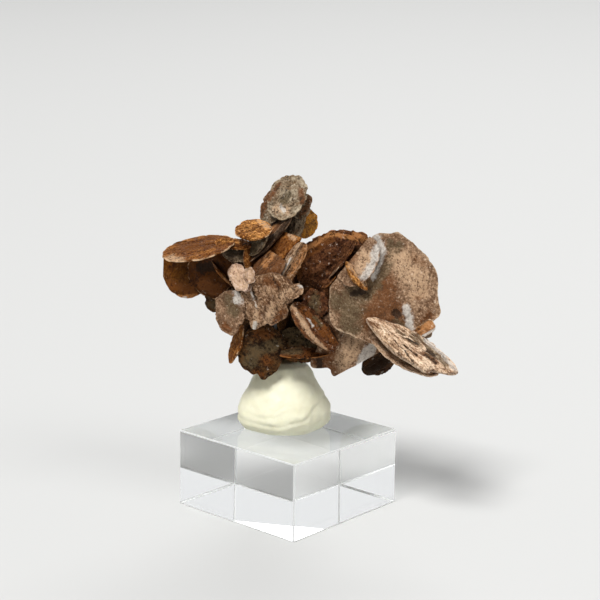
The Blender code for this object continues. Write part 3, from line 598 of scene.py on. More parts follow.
    "towerSide": dict(
        at=(1.8, 1.0, 49.6), face=(-12, 25, 75), size=(4.6, 3.0, 1.4), finish="grey", ragged=1.3,
        marks=(("rust", (-1.5, -0.5), (1.5, -0.8), 0.6),)),
    "towerBack": dict(
        at=(-2.7, 1.4, 49.6), face=(-32, 25, 80), size=(6.6, 4.6, 1.4), finish="grey", bright=0.45,
        marks=(("rust", (-2.0, 1.5), (2.0, 1.6), 0.7),)),
    "towerStrip": dict(
        at=(-3.2, -1.5, 45.1), face=(-63, 45, 88), size=(12.5, 4.8, 1.4), finish="veined", point=1.8,
        bright=0.75, rim=0.4,
        marks=(("gold", (-5.0, 0.9), (4.0, 1.3), 1.1), ("rust", (-5.0, -0.5), (2.0, -0.3), 0.8),
            ("crackShadeAndStain", (-4.0, -1.8), (4.0, -2.0), 0.5))),
    "towerRear": dict(
        at=(0.1, 1.2, 46.3), face=(-29, 19, 75), size=(7.5, 5.0, 2.6), finish="grey", bright=0.3),
    "amberDisc": dict(
        at=(2.3, 2.2, 46.8), face=(14, 12, 78), size=(5.0, 3.8, 1.4), finish="amber", bright=0.8,
        ragged=1.4, marks=(("crackShadeAndStain", (-1.6, 1.0), (-0.6, 0.9), 0.6),)),
    "capDisc": dict(
        at=(-5.9, -4.0, 46.4), face=(-8, 65, 7), size=(5.9, 5.8, 1.3), finish="golden", flow=20, bright=1.0,
        rim=0.9, breaks=((-103, 2.4),), marks=(("cream", (1.0, 2.2), (2.2, 0.6), 0.5),)),
    "capRoot": dict(
        at=(-5.0, -3.0, 44.6), face=(-38, 28, 74), size=(5.2, 3.4, 1.8), finish="grey", bright=0.3,
        marks=(("olive", (-1.5, 0.0), (1.5, 0.0), 1.2),)),
    "footBlade": dict(
        at=(-4.5, -3.5, 27.1), face=(7, -2, 81), size=(9.0, 7.8, 3.0), finish="dark", flow=55, bright=0.7,
        rim=0.15, ragged=0.7, corners=((-168, 7, 0.7), (177, 8, -0.6), (156, 12, -0.5), (-112, 16, -0.3)),
        marks=(("olive", (0.0, 1.0), (-1.6, 1.6), 1.3), ("rust", (2.9, -0.6), (2.9, 1.2), 0.7),
            ("rust", (-1.6, -1.4), (-0.6, -0.2), 0.7), ("olive", (1.5, -1.8), (0.4, 0.4), 1.0),
            ("rust", (-3.4, 0.4), (-3.8, -0.8), 0.4))),
    "footBladeRight": dict(
        at=(1.8, -1.5, 27.7), face=(10, -3, -8), size=(10.2, 6.0, 2.2), finish="dark", rim=0.15,
        marks=(("rust", (-2.6, -2.2), (3.6, -1.0), 0.6), ("olive", (-2.6, 1.8), (2.0, 1.0), 1.7))),
    "footSpear": dict(
        at=(2.3, -4.7, 26.8), face=(-4, 66, 5), size=(9.6, 2.8, 0.9), finish="rust", point=1.5, flow=4,
        bright=0.35, rim=0.6, ragged=1.8, breaks=((172, 3.7),),
        marks=(("rust", (-2.0, -0.5), (3.4, -0.2), 0.8), ("olive", (-3.4, 0.4), (-1.0, 0.4), 0.8))),
    "leftSplinter": dict(
        at=(-8.3, -4.2, 28.2), face=(-62, 16, 82), size=(7.4, 3.4, 1.1), finish="golden", point=1.6,
        bright=0.4, rim=0.7),
    "recessBlade": dict(
        at=(1.6, 0.5, 30.3), face=(7, 24, 18), size=(8.0, 6.4, 2.0), finish="dark",
        marks=(("olive", (-3.0, 0.4), (1.0, 0.6), 1.5),)),
    "recessLeft": dict(at=(-6.5, -0.5, 31.5), face=(-20, 10, 40), size=(8.0, 6.5, 1.8), finish="dark"),
}
innerBlades = {
    "fanTie": dict(at=(-3.5, -1.8, 36.5), face=(80, 5, 0), size=(10.0, 8.0, 2.4), finish="rust"),
    "discTie": dict(at=(13.0, 0.6, 36.5), face=(95, 0, 0), size=(9.2, 9.0, 2.2), finish="rust"),
    "wingTie": dict(at=(-8.0, 1.5, 38.0), face=(20, 0, 0), size=(12.0, 7.0, 2.4), finish="dark"),
    "footTie": dict(at=(-1.0, 0.5, 31.0), face=(70, 0, 10), size=(9.0, 8.0, 2.4), finish="dark"),
    "towerTie": dict(at=(-1.0, 1.5, 42.0), face=(60, 10, 80), size=(9.0, 6.0, 2.4), finish="rust"),
    "coreBlade": dict(at=(1.0, 4.2, 35.5), face=(10, 0, 0), size=(17.0, 11.0, 4.0), finish="rust"),
    "spineBlade": dict(at=(-3.0, 4.0, 36.0), face=(75, 10, 10), size=(12.0, 12.0, 3.0), finish="sandy"),
}
rearBlades = {
    "rearWideDisc": dict(
        at=(12.0, 5.0, 35.5), face=(165, 15, 20), size=(14.5, 13.0, 2.2), finish="sandy", flow=60, rim=0.4,
        ridges=(((2.0, 3.6), (-3.0, 1.0), 0.6, 0.25), ((1.0, -4.0), (3.4, 1.0), 0.8, -0.3)),
        marks=(("rust", (0.0, -3.5), (3.4, -0.6), 1.8), ("frost", (2.0, 3.6), (-3.0, 1.0), 0.5),
            ("olive", (-4.0, -2.0), (-1.0, -4.0), 1.5), ("cream", (-3.6, 3.6), (0.6, 4.6), 1.2))),
    "rearLeftDisc": dict(
        at=(-9.0, 6.0, 37.0), face=(215, 10, 30), size=(11.0, 9.0, 2.0), finish="rust", flow=40, rim=0.4,
        marks=(("rust", (2.0, 1.0), (4.0, -1.0), 1.2),)),
    "rearCrossDisc": dict(
        at=(6.0, 8.0, 34.0), face=(100, -15, 60), size=(12.0, 10.0, 2.0), finish="veined", flow=30,
        rim=0.4),
    "rearShelf": dict(
        at=(2.0, 7.0, 40.0), face=(190, 65, 10), size=(12.0, 10.0, 1.8), finish="golden", rim=0.6),
    "rearLowDisc": dict(
        at=(1.0, 8.0, 30.0), face=(185, -25, 0), size=(11.0, 9.0, 2.2), finish="dark",
        marks=(("rust", (-2.0, -2.0), (2.0, -2.4), 1.0), ("olive", (0.0, 1.5), (2.0, 1.0), 1.4))),
    "rearFin": dict(
        at=(14.8, 2.0, 29.4), face=(130, -20, 60), size=(12.0, 7.5, 2.0), finish="rust", flow=10),
    "rearCap": dict(
        at=(-4.6, 7.6, 34.2), face=(240, 30, 70), size=(8.0, 7.0, 1.6), finish="sandy", rim=0.4,
        marks=(("rust", (-1.5, 0.5), (1.5, -0.5), 1.2),)),
    "rearSpur": dict(
        at=(9.0, 11.0, 38.0), face=(150, 40, -30), size=(7.0, 5.5, 1.4), finish="pale", flow=15, rim=0.5),
    "rearDiagonal": dict(
        at=(14.5, 7.2, 32.2), face=(158, 32, 62), size=(9.0, 4.2, 1.2), finish="pale", point=1.7, flow=12,
        bright=0.9, rim=0.4, ragged=1.6),
    "rearUpper": dict(
        at=(9.0, 3.4, 43.0), face=(172, 25, 20), size=(7.6, 5.4, 1.4), finish="rust", rim=0.4, ragged=1.5,
        marks=(("gold", (-1.0, -2.0), (2.0, -1.8), 0.6),)),
    "rearTower": dict(
        at=(-1.4, 2.8, 46.2), face=(168, 22, 78), size=(8.4, 4.6, 1.4), finish="grey", ragged=1.5,
        marks=(("rust", (-3.0, 0.0), (0.0, 0.6), 1.0),)),
    "rearLens": dict(
        at=(-4.4, 8.0, 39.6), face=(202, 18, 62), size=(6.4, 3.6, 1.2), finish="golden", point=1.8, rim=0.5,
        ragged=1.4),
    "rearFan": dict(
        at=(-9.4, 7.4, 33.8), face=(206, -6, 102), size=(7.0, 5.4, 1.6), finish="veined", flow=80,
        bright=0.7, ragged=1.5, corners=((150, 12, 0.7), (-60, 14, 0.5)),
        marks=(("frost", (2.0, 0.6), (0.4, 1.0), 0.4), ("rust", (-2.4, -0.6), (-1.0, 0.8), 0.8))),
    "rearFoot": dict(
        at=(-3.0, 5.6, 27.6), face=(192, -14, 70), size=(7.4, 5.4, 1.8), finish="dark", ragged=1.3,
        marks=(("olive", (-1.0, 0.6), (1.5, 0.6), 1.3),)),
    "footRoot": dict(
        at=(-0.7, 2.4, 26.4), face=(178, -4, 84), size=(8.0, 5.8, 2.0), finish="dark", ragged=1.2,
        marks=(("rust", (-2.0, 0.6), (1.5, 0.4), 1.1),)),
    "footRootLeft": dict(
        at=(-2.4, 1.4, 26.8), face=(262, 6, 80), size=(8.0, 4.8, 1.8), finish="rust", bright=0.35,
        ragged=1.3, marks=(("olive", (-1.0, 0.6), (1.5, 0.6), 1.1),)),
    "rearGold": dict(
        at=(-13.6, 3.4, 38.6), face=(190, 6, 10), size=(6.8, 7.6, 1.2), finish="honey", rim=0.8, ragged=0.7,
        marks=(("gold", (-1.6, -3.0), (1.8, -3.2), 0.5),)),
    "rearSlant": dict(
        at=(5.4, 10.6, 31.2), face=(172, 28, 112), size=(8.6, 4.4, 1.4), finish="sandy", point=1.8, rim=0.4,
        ragged=1.5, marks=(("rust", (-2.6, 0.0), (2.0, 0.4), 0.9),)),
}
crystal = dict(
    # mm between mesh points on a blade
    detailed=0.19, fine=0.27, plain=0.40, hidden=0.65,
    rimDensity=1.25,            # above 1 the mesh is finer towards the rim
    seedStep=17.3,              # keeps the patterns of two blades apart
    # outline waves: how many around the blade, height as a share of the radius
    rimWaves=((5, 0.012), (9, 0.008), (14, 0.006)),
    # rim chips, long, short and rare: waves per mm, depth in mm; a rare one only above rareLevel
    longChips=(0.7, 0.21), shortChips=(2.0, 0.15), rareChips=(0.9, 0.8), rareLevel=0.25,
    rimInset=0.06, rimOvershoot=0.04,
    # lens: rim thickness as a share of the blade's, reach of the flat middle, lean of the rim to the front
    rimShare=0.14, fullness=3.2, rimForward=0.55, thinnest=0.06,
    # terraces: flat share of each, wander of their edges (waves per mm, mm), shares of round and stepped lens
    tread=0.72, wander=(0.35, 0.35), smoothShare=0.45, terraceShare=0.55,
    # crests: bend (waves, reach), narrowness, lumps on them, shares of crest and lump
    crestBend=(0.7, 0.45), crestNarrow=2.6, lumps=2.1, crestShare=0.72, lumpShare=0.28,
    # long ridges along the flow, waves per mm along and across; the slow swell of a face (waves per mm, mm)
    broadRidges=(0.12, 1.1), narrowRidges=(0.2, 2.6), narrowShare=0.5, ridgeHeight=1.6, swell=(0.28, 0.16),
    ridgeDrift=(0.9, 0.35),     # wander of the drawn ridges: waves per mm, most in mm
    # rim: strength of the painted rim light on a blade that names none
    rim=0.25,                   # paleness of a rim that names none
    bright=(0.55, 0.35),        # paleness of a face that names none: middle and spread
    markFade=0.7,
    sharpAngle=38,
    crumb=200,                  # an island of the union with fewer points is a loose crumb
    shelterReach=5.0,           # mm looked at for shelter
    shelterRays=14, shelterLow=0.12, shelterSpan=0.85, shelterLift=0.05,
)
markKinds = ("frost", "rust", "crackShadeAndStain", "olive", "cream", "gold")


def outlineRadius(angle, blade, phase):
    length, width, _ = blade["size"]
    point = blade.get("point", 2.0)
    along = (abs(math.cos(angle)) / (length / 2)) ** point
    across = (abs(math.sin(angle)) / (width / 2)) ** point
    radius = (along + across) ** (-1.0 / point)
    radius *= 1.0 + sum(height * math.sin(waves * angle + phase * waves)
                        for waves, height in crystal["rimWaves"])
    for direction, spread, height in blade.get("corners", ()):
        turn = (math.degrees(angle) - direction + 180.0) % 360.0 - 180.0
        radius += height * math.exp(-(turn / spread) ** 2)
    return radius


def discPlace(x, y):
    # square grid to disc, ring by ring, so the mesh stays even
    if abs(x) < 1e-9 and abs(y) < 1e-9:
        return 0.0, 0.0
    if abs(x) > abs(y):
        reach, angle = x, math.pi / 4 * y / x
    else:
        reach, angle = y, math.pi / 2 - math.pi / 4 * x / y
    return abs(reach), angle if reach > 0 else angle + math.pi


def rimChips(angle, blade, seed):
    # bites out of the rim, never past the solid's outline
    length, width, _ = blade["size"]
    spot = Vector((math.cos(angle) * length / 2, math.sin(angle) * width / 2, seed))
    bite = 0.0
    for waves, depth in (crystal["longChips"], crystal["shortChips"]):
        bite += noise.noise(spot * waves) * depth
    waves, depth = crystal["rareChips"]
    bite -= max(0.0, noise.noise(spot * waves + Vector((4.0, 0.0, 0.0))) - crystal["rareLevel"]) * depth
    return min(bite * blade.get("ragged", 1.0) - crystal["rimInset"], crystal["rimOvershoot"])


def flowPlace(u, v, blade):
    # the blade's own plane turned so that x runs along its growth lines
    turn = math.radians(blade.get("flow", 0.0))
    return u * math.cos(turn) + v * math.sin(turn), v * math.cos(turn) - u * math.sin(turn)


def lineDistance(u, v, start, end):
    away = Vector((u, v)) - Vector(start)
    span = Vector(end) - Vector(start)
    share = max(0.0, min(1.0, away.dot(span) / span.length_squared)) if span.length else 0.0
    return (away - span * share).length


def relief(u, v, seed, blade, look):
    # squiggly crests along the flow, long ridges and a slow swell; returns millimetres and a 0..1 crest note
    along, across = flowPlace(u, v, blade)
    spot = Vector((along * look["stretch"], across, seed)) / look["cell"]
    waves, push = crystal["crestBend"]
    spot += noise.noise_vector(spot * waves) * push
    squiggle = 1.0 - min(1.0, abs(noise.noise(spot)) * crystal["crestNarrow"])
    lump = noise.noise(spot * crystal["lumps"] + Vector((7.0, 3.0, 1.0)))
    crest = crystal["crestShare"] * squiggle + crystal["lumpShare"] * (0.5 + lump)
    waves, wavesAcross = crystal["broadRidges"]
    ridge = noise.noise(Vector((along * waves, across * wavesAcross, seed + 3.0)))
    waves, wavesAcross = crystal["narrowRidges"]
    ridge += crystal["narrowShare"] * noise.noise(Vector((along * waves, across * wavesAcross, seed + 5.0)))
    waves, height = crystal["swell"]
    swell = noise.noise(Vector((u * waves, v * waves, seed + 9.0))) * height
    return (crest - 0.5) * look["cellHeight"] + ridge * look["rib"] * crystal["ridgeHeight"] + swell, crest


def lensHeight(reach, u, v, seed, half, blade, look):
    # half thickness of the lens, partly cut into growth terraces
    share = crystal["rimShare"]
    fullness = blade.get("fullness", crystal["fullness"])
    smooth = half * (share + (1.0 - share) * (1.0 - min(reach, 1.0) ** fullness))
    waves, most = crystal["wander"]
    drift = noise.noise(Vector((u * waves, v * waves, seed + 21.0))) * most
    level = (smooth + drift) / look["step"]
    whole = math.floor(level)
    part = level - whole
    climb = max(0.0, min(1.0, (part - crystal["tread"]) / (1.0 - crystal["tread"])))
    terraced = (whole + climb) * look["step"] - drift
    return smooth * crystal["smoothShare"] + max(terraced, half * share) * crystal["terraceShare"]


def bladeMatrix(blade):
    azimuth, elevation, roll = (math.radians(value) for value in blade["face"])
    normal = Vector((math.sin(azimuth) * math.cos(elevation),
                     -math.cos(azimuth) * math.cos(elevation), math.sin(elevation)))
    level = Vector((math.cos(azimuth), math.sin(azimuth), 0.0))
    turn = Matrix((level, normal.cross(level), normal)).transposed() @ Matrix.Rotation(roll, 3, "Z")
    return Matrix.Translation(Vector(blade["at"]) * mm) @ turn.to_4x4()


def shapeVertex(vertex, side, blade, look, phase, seed):
    half = blade["size"][2] / 2
    reach, angle = discPlace(vertex.co.x, vertex.co.y)
    eased = 1.0 - (1.0 - reach) ** crystal["rimDensity"]
    radius = eased * outlineRadius(angle, blade, phase) + rimChips(angle, blade, seed) * eased ** 6
    u = radius * math.cos(angle)
    v = radius * math.sin(angle)
    height = lensHeight(eased, u, v, seed + side * 5.0, half, blade, look)
    bumps, crest = relief(u, v, seed + side * 31.0, blade, look)
    height += bumps * (0.20 + 0.80 * min(1.0, height / half)) * min(1.0, half / 0.8)
    if side > 0:
        waves, most = crystal["ridgeDrift"]
        for start, end, width, rise in blade.get("ridges", ()):
            drift = noise.noise(Vector((u * waves, v * waves, seed))) * min(most, width * 0.8)
            away = (lineDistance(u, v, start, end) + drift) / width
            height += rise * math.exp(-away * away)
    height = max(height, crystal["thinnest"])
    lean = half * crystal["rimForward"] * eased ** 3
    vertex.co = Vector((u, v, side * height + lean))
    return crest


def makeBlade(name, blade, fineness, number):
    look = finishes[blade["finish"]]
    phase = sum(blade["at"]) % math.tau
    seed = number * crystal["seedStep"]
    step = crystal[blade.get("mesh", fineness)]
    bm = bmesh.new()
    crestLayer = bm.verts.layers.float.new("crest")
    bmesh.ops.create_grid(bm, x_segments=2 * round(blade["size"][0] / step / 2),
                          y_segments=2 * round(blade["size"][1] / step / 2), size=1.0)
    made = bmesh.ops.extrude_face_region(bm, geom=bm.faces[:], use_keep_orig=True)
    front = {part for part in made["geom"] if isinstance(part, bmesh.types.BMVert)}
    for vertex in bm.verts:
        vertex[crestLayer] = shapeVertex(vertex, 1 if vertex in front else -1, blade, look, phase, seed)
    for direction, distance in blade.get("breaks", ()):
        turn = math.radians(direction)
        outward = Vector((math.cos(turn), math.sin(turn), 0.0))
        cut = bmesh.ops.bisect_plane(bm, geom=bm.verts[:] + bm.edges[:] + bm.faces[:], dist=0.0001,
                                     plane_co=outward * distance, plane_no=outward, clear_outer=True)
        rim = [part for part in cut["geom_cut"] if isinstance(part, bmesh.types.BMEdge)]
        bmesh.ops.edgeloop_fill(bm, edges=rim)
    bmesh.ops.recalc_face_normals(bm, faces=bm.faces)
    writeBladeNotes(bm, blade, number, phase, crestLayer)
    bmesh.ops.scale(bm, vec=Vector((mm, mm, mm)), verts=bm.verts)
    bmesh.ops.transform(bm, matrix=bladeMatrix(blade), verts=bm.verts)
    return addPiece(name, bm, calciteMaterials)


def writeBladeNotes(bm, blade, number, phase, crestLayer):
    # bladePlace: mm along and across the flow; bladeNote: reach to the rim, brightness, crest
    # bladeMarks: frost, rust, crack shade and stain; bladeTints: olive, cream, gold
    labels = ("bladePlace", "bladeNote", "bladeMarks", "bladeTints")
    layers = [bm.loops.layers.float_vector.new(label) for label in labels]
    rimLayer = bm.loops.layers.float.new("rimPale")
    middle, spread = crystal["bright"]
    brightness = blade.get("bright", middle + spread * noise.noise(Vector((number * 3.7, 0.5, 0.5))))
    slot = finishOrder.index(blade["finish"])
    for vertex in bm.verts:
        u, v, w = vertex.co
        reach = math.hypot(u, v) / outlineRadius(math.atan2(v, u), blade, phase)
        amounts = dict.fromkeys(markKinds, 0.0)
        for kind, start, end, width in blade.get("marks", ()):
            if w > 0:
                away = lineDistance(u, v, start, end) / width
                amounts[kind] = max(amounts[kind], math.exp(-crystal["markFade"] * away * away))
        along, across = flowPlace(u, v, blade)
        values = ((along, across, w + number * 4.0), (reach, brightness, vertex[crestLayer]),
                  [amounts[kind] for kind in markKinds[:3]], [amounts[kind] for kind in markKinds[3:]])
        for loop in vertex.link_loops:
            loop[rimLayer] = blade.get("rim", crystal["rim"])
            for layer, value in zip(layers, values):
                loop[layer] = value
    for face in bm.faces:
        face.material_index = slot
        face.smooth = True


def addPiece(name, bm, materials):
    mesh = bpy.data.meshes.new(name)
    bm.to_mesh(mesh)
    bm.free()
    piece = bpy.data.objects.new(name, mesh)
    bpy.context.scene.collection.objects.link(piece)
    for material in materials:
        mesh.materials.append(material)
    return piece


def applyBoolean(piece, operation, other):
    boolean = piece.modifiers.new("join", "BOOLEAN")
    boolean.operation = operation
    boolean.solver = "MANIFOLD"
    boolean.object = other
    depsgraph = bpy.context.evaluated_depsgraph_get()
    joined = bpy.data.meshes.new_from_object(piece.evaluated_get(depsgraph), preserve_all_data_layers=True,
                                             depsgraph=depsgraph)
    piece.modifiers.clear()
    piece.data = joined


def joinAll(pieces):
    # two at a time, like rounds of a tournament
    while len(pieces) > 1:
        alone = pieces[len(pieces) // 2 * 2:]
        firsts = pieces[0:len(pieces) - len(alone):2]
        for first, second in zip(firsts, pieces[1::2]):
            applyBoolean(first, "UNION", second)
            bpy.data.objects.remove(second, do_unlink=True)
        pieces = firsts + alone
    return pieces[0]


def keepInside(mesh, box):
    low, high = box
    for vertex in mesh.vertices:
        vertex.co = [min(max(value, least), most) for value, least, most in zip(vertex.co, low, high)]


def rayFan(count):
    # directions spread evenly over a hemisphere
    fan = []
    for number in range(count):
        height = crystal["shelterLow"] + crystal["shelterSpan"] * (number + 0.5) / count
        turn = number * math.pi * (3.0 - math.sqrt(5.0))
        flat = math.sqrt(1.0 - height * height)
        fan.append(Vector((flat * math.cos(turn), flat * math.sin(turn), height)))
    return fan


def measureShelter(piece):
    # 1 where a point looks out freely, 0 deep between blades
    mesh = piece.data
    tree = BVHTree.FromPolygons([vertex.co for vertex in mesh.vertices],
                                [face.vertices[:] for face in mesh.polygons])
    fan = rayFan(crystal["shelterRays"])
    reach = crystal["shelterReach"] * mm
    layer = mesh.attributes.new("shelter", "FLOAT", "POINT")
    for vertex in mesh.vertices:
        normal = vertex.normal
        turn = normal.to_track_quat("Z", "Y")
        start = vertex.co + normal * (crystal["shelterLift"] * mm)
        free = 0.0
        for direction in fan:
            distance = tree.ray_cast(start, turn @ direction, reach)[3]
            free += 1.0 if distance is None else distance / reach
        layer.data[vertex.index].value = free / len(fan)


def dropCrumbs(mesh):
    # the union can leave chips that touch nothing
    bm = bmesh.new()
    bm.from_mesh(mesh)
    waiting = set(bm.verts)
    crumbs = []
    while waiting:
        island = {waiting.pop()}
        edge = list(island)
        while edge:
            near = {link.other_vert(vertex) for vertex in edge for link in vertex.link_edges} - island
            island |= near
            edge = list(near)
        waiting -= island
        if len(island) < crystal["crumb"]:
            crumbs += island
    bmesh.ops.delete(bm, geom=crumbs, context="VERTS")
    bm.to_mesh(mesh)
    bm.free()
    print("crumbs dropped:", len(crumbs), "points")


def makeCalcite():
    made = []
    for fineness, group in (("fine", frontBlades), ("hidden", innerBlades), ("plain", rearBlades)):
        for name, blade in group.items():
            made.append(makeBlade(name, blade, fineness, len(made)))
    print("blades shaped:", len(made))
    cluster = joinAll(made)
    cluster.name = "calciteCluster"
    dropCrumbs(cluster.data)
    keepInside(cluster.data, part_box("calcite_blades"))
    cluster.data.shade_smooth()
    cluster.data.set_sharp_from_angle(angle=math.radians(crystal["sharpAngle"]))
    measureShelter(cluster)
    print("calcite joined:", sum(len(face.vertices) - 2 for face in cluster.data.polygons), "triangles")
    return cluster


# putty

putty = dict(
    centre=(-0.9, 1.1), depthRatio=0.86,
    turns=140, rows=6, easings=3,              # mesh steps around and up, and rounds of smoothing
    profile=((6.3, 0.0), (7.1, 0.8), (7.5, 2.0), (7.4, 3.3), (6.8, 4.8),
             (6.0, 6.4), (5.2, 8.0), (4.5, 9.3), (3.9, 10.5), (2.6, 11.2)),
    folds=((4, 0.6, 0.030), (7, 2.1, 0.018)),
    # creases: points of (direction, height), groove depth, groove width, lip above the groove
    creases=((((-200, 2.6), (-150, 2.0), (-100, 1.7), (-70, 2.4), (-40, 4.3), (-10, 5.4), (40, 4.6)),
              0.13, 0.36, 0.12),
             (((-190, 1.0), (-140, 0.7), (-95, 0.6), (-70, 1.1)), 0.16, 0.26, 0.10),
             (((-80, 2.6), (-62, 4.6), (-56, 6.4)), 0.12, 0.35, 0.10),
             (((-165, 3.4), (-120, 3.0), (-85, 3.5)), 0.08, 0.30, 0.08)),
    creaseFade=18.0, lipPlace=1.6, lipWidth=2.2,       # degrees; the lip in widths of its groove
    shoulder=(-12, 38, 2.6, 1.7, 0.45),        # direction, spread, height, reach up and down, bulge
    swell=(0.28, 0.45), dents=(0.9, 0.10),     # waves per mm, mm
    tint=colour(0.87, 0.85, 0.66), shade=colour(0.77, 0.74, 0.54), speck=colour(0.45, 0.38, 0.24),
)


def makePuttyMaterial():
    material, tree, shader = newMaterial("mineralPutty")
    place = objectPlace(tree, (-1400, 0))
    clouds = cloudMask(tree, (-900, 200), place, 5.0, 0.5, 0.25)
    base = mixColour(tree, (-600, 200), clouds, putty["tint"], putty["shade"])
    specks = maths(tree, (-700, -50), "MULTIPLY", cloudMask(tree, (-900, -50), place, 0.5, 0.70, 0.04), 0.35)
    base = mixColour(tree, (-400, 200), specks, base, putty["speck"])
    prints = noiseTexture(tree, (-900, -300), place, 0.7, 4.0)["Fac"]
    fine = noiseTexture(tree, (-900, -500), place, 5.0, 3.0)["Fac"]
    height = maths(tree, (-600, -400), "MULTIPLY_ADD", fine, 0.12, prints)
    bump = addNode(tree, "ShaderNodeBump", (-300, -400),
                   {"Strength": 0.35, "Distance": 0.4 * mm, "Height": height})
    rough = ramp(tree, (-600, -100), prints, 0.3, 0.7, 0.42, 0.58)
    fillInputs(tree, shader, {"Base Color": base, "Roughness": rough, "Normal": bump.outputs["Normal"],
                              "Subsurface Weight": 0.2,
                              "Subsurface Radius": (1.2 * mm, 1.0 * mm, 0.6 * mm)})
    return material


def creaseHeight(points, direction):
    # height of a crease in this direction, and how far inside its ends the direction lies
    for (start, low), (end, high) in zip(points, points[1:]):
        if start <= direction <= end:
            share = (direction - start) / (end - start)
            inside = min(direction - points[0][0], points[-1][0] - direction)
            rise = share * share * (3.0 - 2.0 * share)
            return low + (high - low) * rise, min(1.0, inside / putty["creaseFade"])
    return 0.0, 0.0


def pressPutty(vertex):
    x, y, height = vertex.co
    angle = math.atan2(y, x)
    radius = math.hypot(x, y)
    fold = 1.0 + sum(depth * math.sin(waves * angle + start) for waves, start, depth in putty["folds"])
    waves, most = putty["swell"]
    push = noise.noise(Vector((x * waves, y * waves, height * waves + 5.0))) * most
    waves, most = putty["dents"]
    push += noise.noise(Vector((x * waves, y * waves, height * waves))) * most
    direction, spread, middle, reach, bulge = putty["shoulder"]
    turn = (math.degrees(angle) - direction + 180.0) % 360.0 - 180.0
    push += bulge * math.exp(-(turn / spread) ** 2 - ((height - middle) / reach) ** 2)
    for points, depth, width, lip in putty["creases"]:
        for around in (0.0, -360.0):
            middle, present = creaseHeight(points, math.degrees(angle) + around)
            away = (height - middle) / width
            push -= present * depth * math.exp(-away * away)
            above = (height - middle - putty["lipPlace"] * width) / (putty["lipWidth"] * width)
            push += present * lip * math.exp(-above ** 2)
    if height < 0.02 or radius < 1.0:
        push = 0.0
    reached = radius * fold + push
    vertex.co.x = math.cos(angle) * reached + putty["centre"][0]
    vertex.co.y = math.sin(angle) * reached * putty["depthRatio"] + putty["centre"][1]


def makePutty(calcite):
    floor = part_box("mineral_putty")[0][2]
    bm = bmesh.new()
    ring = [bm.verts.new((0.0, 0.0, 0.0))]
    ring += [bm.verts.new((width, 0.0, height)) for width, height in putty["profile"]]
    ring.append(bm.verts.new((0.0, 0.0, putty["profile"][-1][1])))
    edges = [bm.edges.new(pair) for pair in zip(ring, ring[1:])]
    bmesh.ops.subdivide_edges(bm, edges=edges, cuts=putty["rows"], smooth=0.0)
    bmesh.ops.spin(bm, geom=bm.verts[:] + bm.edges[:], cent=(0, 0, 0), axis=(0, 0, 1), angle=math.tau,
                   steps=putty["turns"], use_merge=True)
    bmesh.ops.remove_doubles(bm, verts=bm.verts, dist=0.001)
    for _ in range(putty["easings"]):
        sides = [vertex for vertex in bm.verts if vertex.co.z > 0.3]
        bmesh.ops.smooth_vert(bm, verts=sides, factor=0.5, use_axis_x=True, use_axis_y=True, use_axis_z=True)
    for vertex in bm.verts:
        pressPutty(vertex)
    bmesh.ops.scale(bm, vec=Vector((mm, mm, mm)), verts=bm.verts)
    bmesh.ops.translate(bm, vec=Vector((0.0, 0.0, floor)), verts=bm.verts)
    bmesh.ops.recalc_face_normals(bm, faces=bm.faces)
    mound = addPiece("puttyMound", bm, [makePuttyMaterial()])
    applyBoolean(mound, "DIFFERENCE", calcite)
    keepInside(mound.data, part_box("mineral_putty"))
    mound.data.shade_smooth()
    return mound


# acrylic block

block = dict(side=25.4, height=12.7, turn=-41.5, bevel=0.22, bevelSteps=2, ior=1.49)


def makeAcrylicMaterial():
    material, tree, shader = newMaterial("clearAcrylic")
    place = objectPlace(tree, (-1200, 0))
    scratches = useEffect(tree, "lines", (-700, 0), {"Place": place, "Spacing": 1.2, "Wobble": 4.0})["Value"]
    rough = ramp(tree, (-400, 0), scratches, 0.60, 0.78, 0.0, 0.018)
    fillInputs(tree, shader, {"Roughness": rough, "Base Color": colour(0.985, 0.992, 0.99),
                              "Transmission Weight": 1.0, "IOR": block["ior"]})
    # light reaches the table straight through the clear block
    path = addNode(tree, "ShaderNodeLightPath", (-100, 400))
    shadow, diffuse = path.outputs["Is Shadow Ray"], path.outputs["Is Diffuse Ray"]
    straight = maths(tree, (100, 400), "MAXIMUM", shadow, diffuse)
    through = addNode(tree, "ShaderNodeBsdfTransparent", (100, 100), {"Color": colour(0.93, 0.94, 0.94)})
    blend = addNode(tree, "ShaderNodeMixShader", (500, 200),
                    {0: straight, 1: shader.outputs["BSDF"], 2: through.outputs["BSDF"]})
    fillInputs(tree, tree.nodes["Material Output"], {"Surface": blend.outputs["Shader"]})
    return material


def makePaintedEdgeHighlight():
    # painted highlight: the bevels get a pale, rough finish, so they show as thin pale lines like the bright
    # refraction along the block's edges
    material, tree, shader = newMaterial("paintedEdgeHighlight")
    fillInputs(tree, shader, {"Base Color": colour(0.86, 0.87, 0.86), "Roughness": 0.45,
                              "Transmission Weight": 0.35, "IOR": block["ior"]})
    return material


def makeBlock():
    bm = bmesh.new()
    bmesh.ops.create_cube(bm, size=1.0)
    side, height = block["side"], block["height"]
    turn = Matrix.Rotation(math.radians(block["turn"]), 3, "Z")
    bmesh.ops.scale(bm, vec=Vector((side, side, height)) * mm, verts=bm.verts)
    bmesh.ops.bevel(bm, geom=bm.edges[:], offset=block["bevel"] * mm, segments=block["bevelSteps"],
                    profile=0.5, affect="EDGES", material=1)
    bmesh.ops.translate(bm, vec=(0.0, 0.0, height / 2 * mm), verts=bm.verts)
    bmesh.ops.rotate(bm, cent=(0, 0, 0), matrix=turn, verts=bm.verts)
    # material 1 goes on the bevels
    piece = addPiece("acrylicBlock", bm, [makeAcrylicMaterial(), makePaintedEdgeHighlight()])
    keepInside(piece.data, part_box("acrylic_base"))
    return piece


# table, light and camera

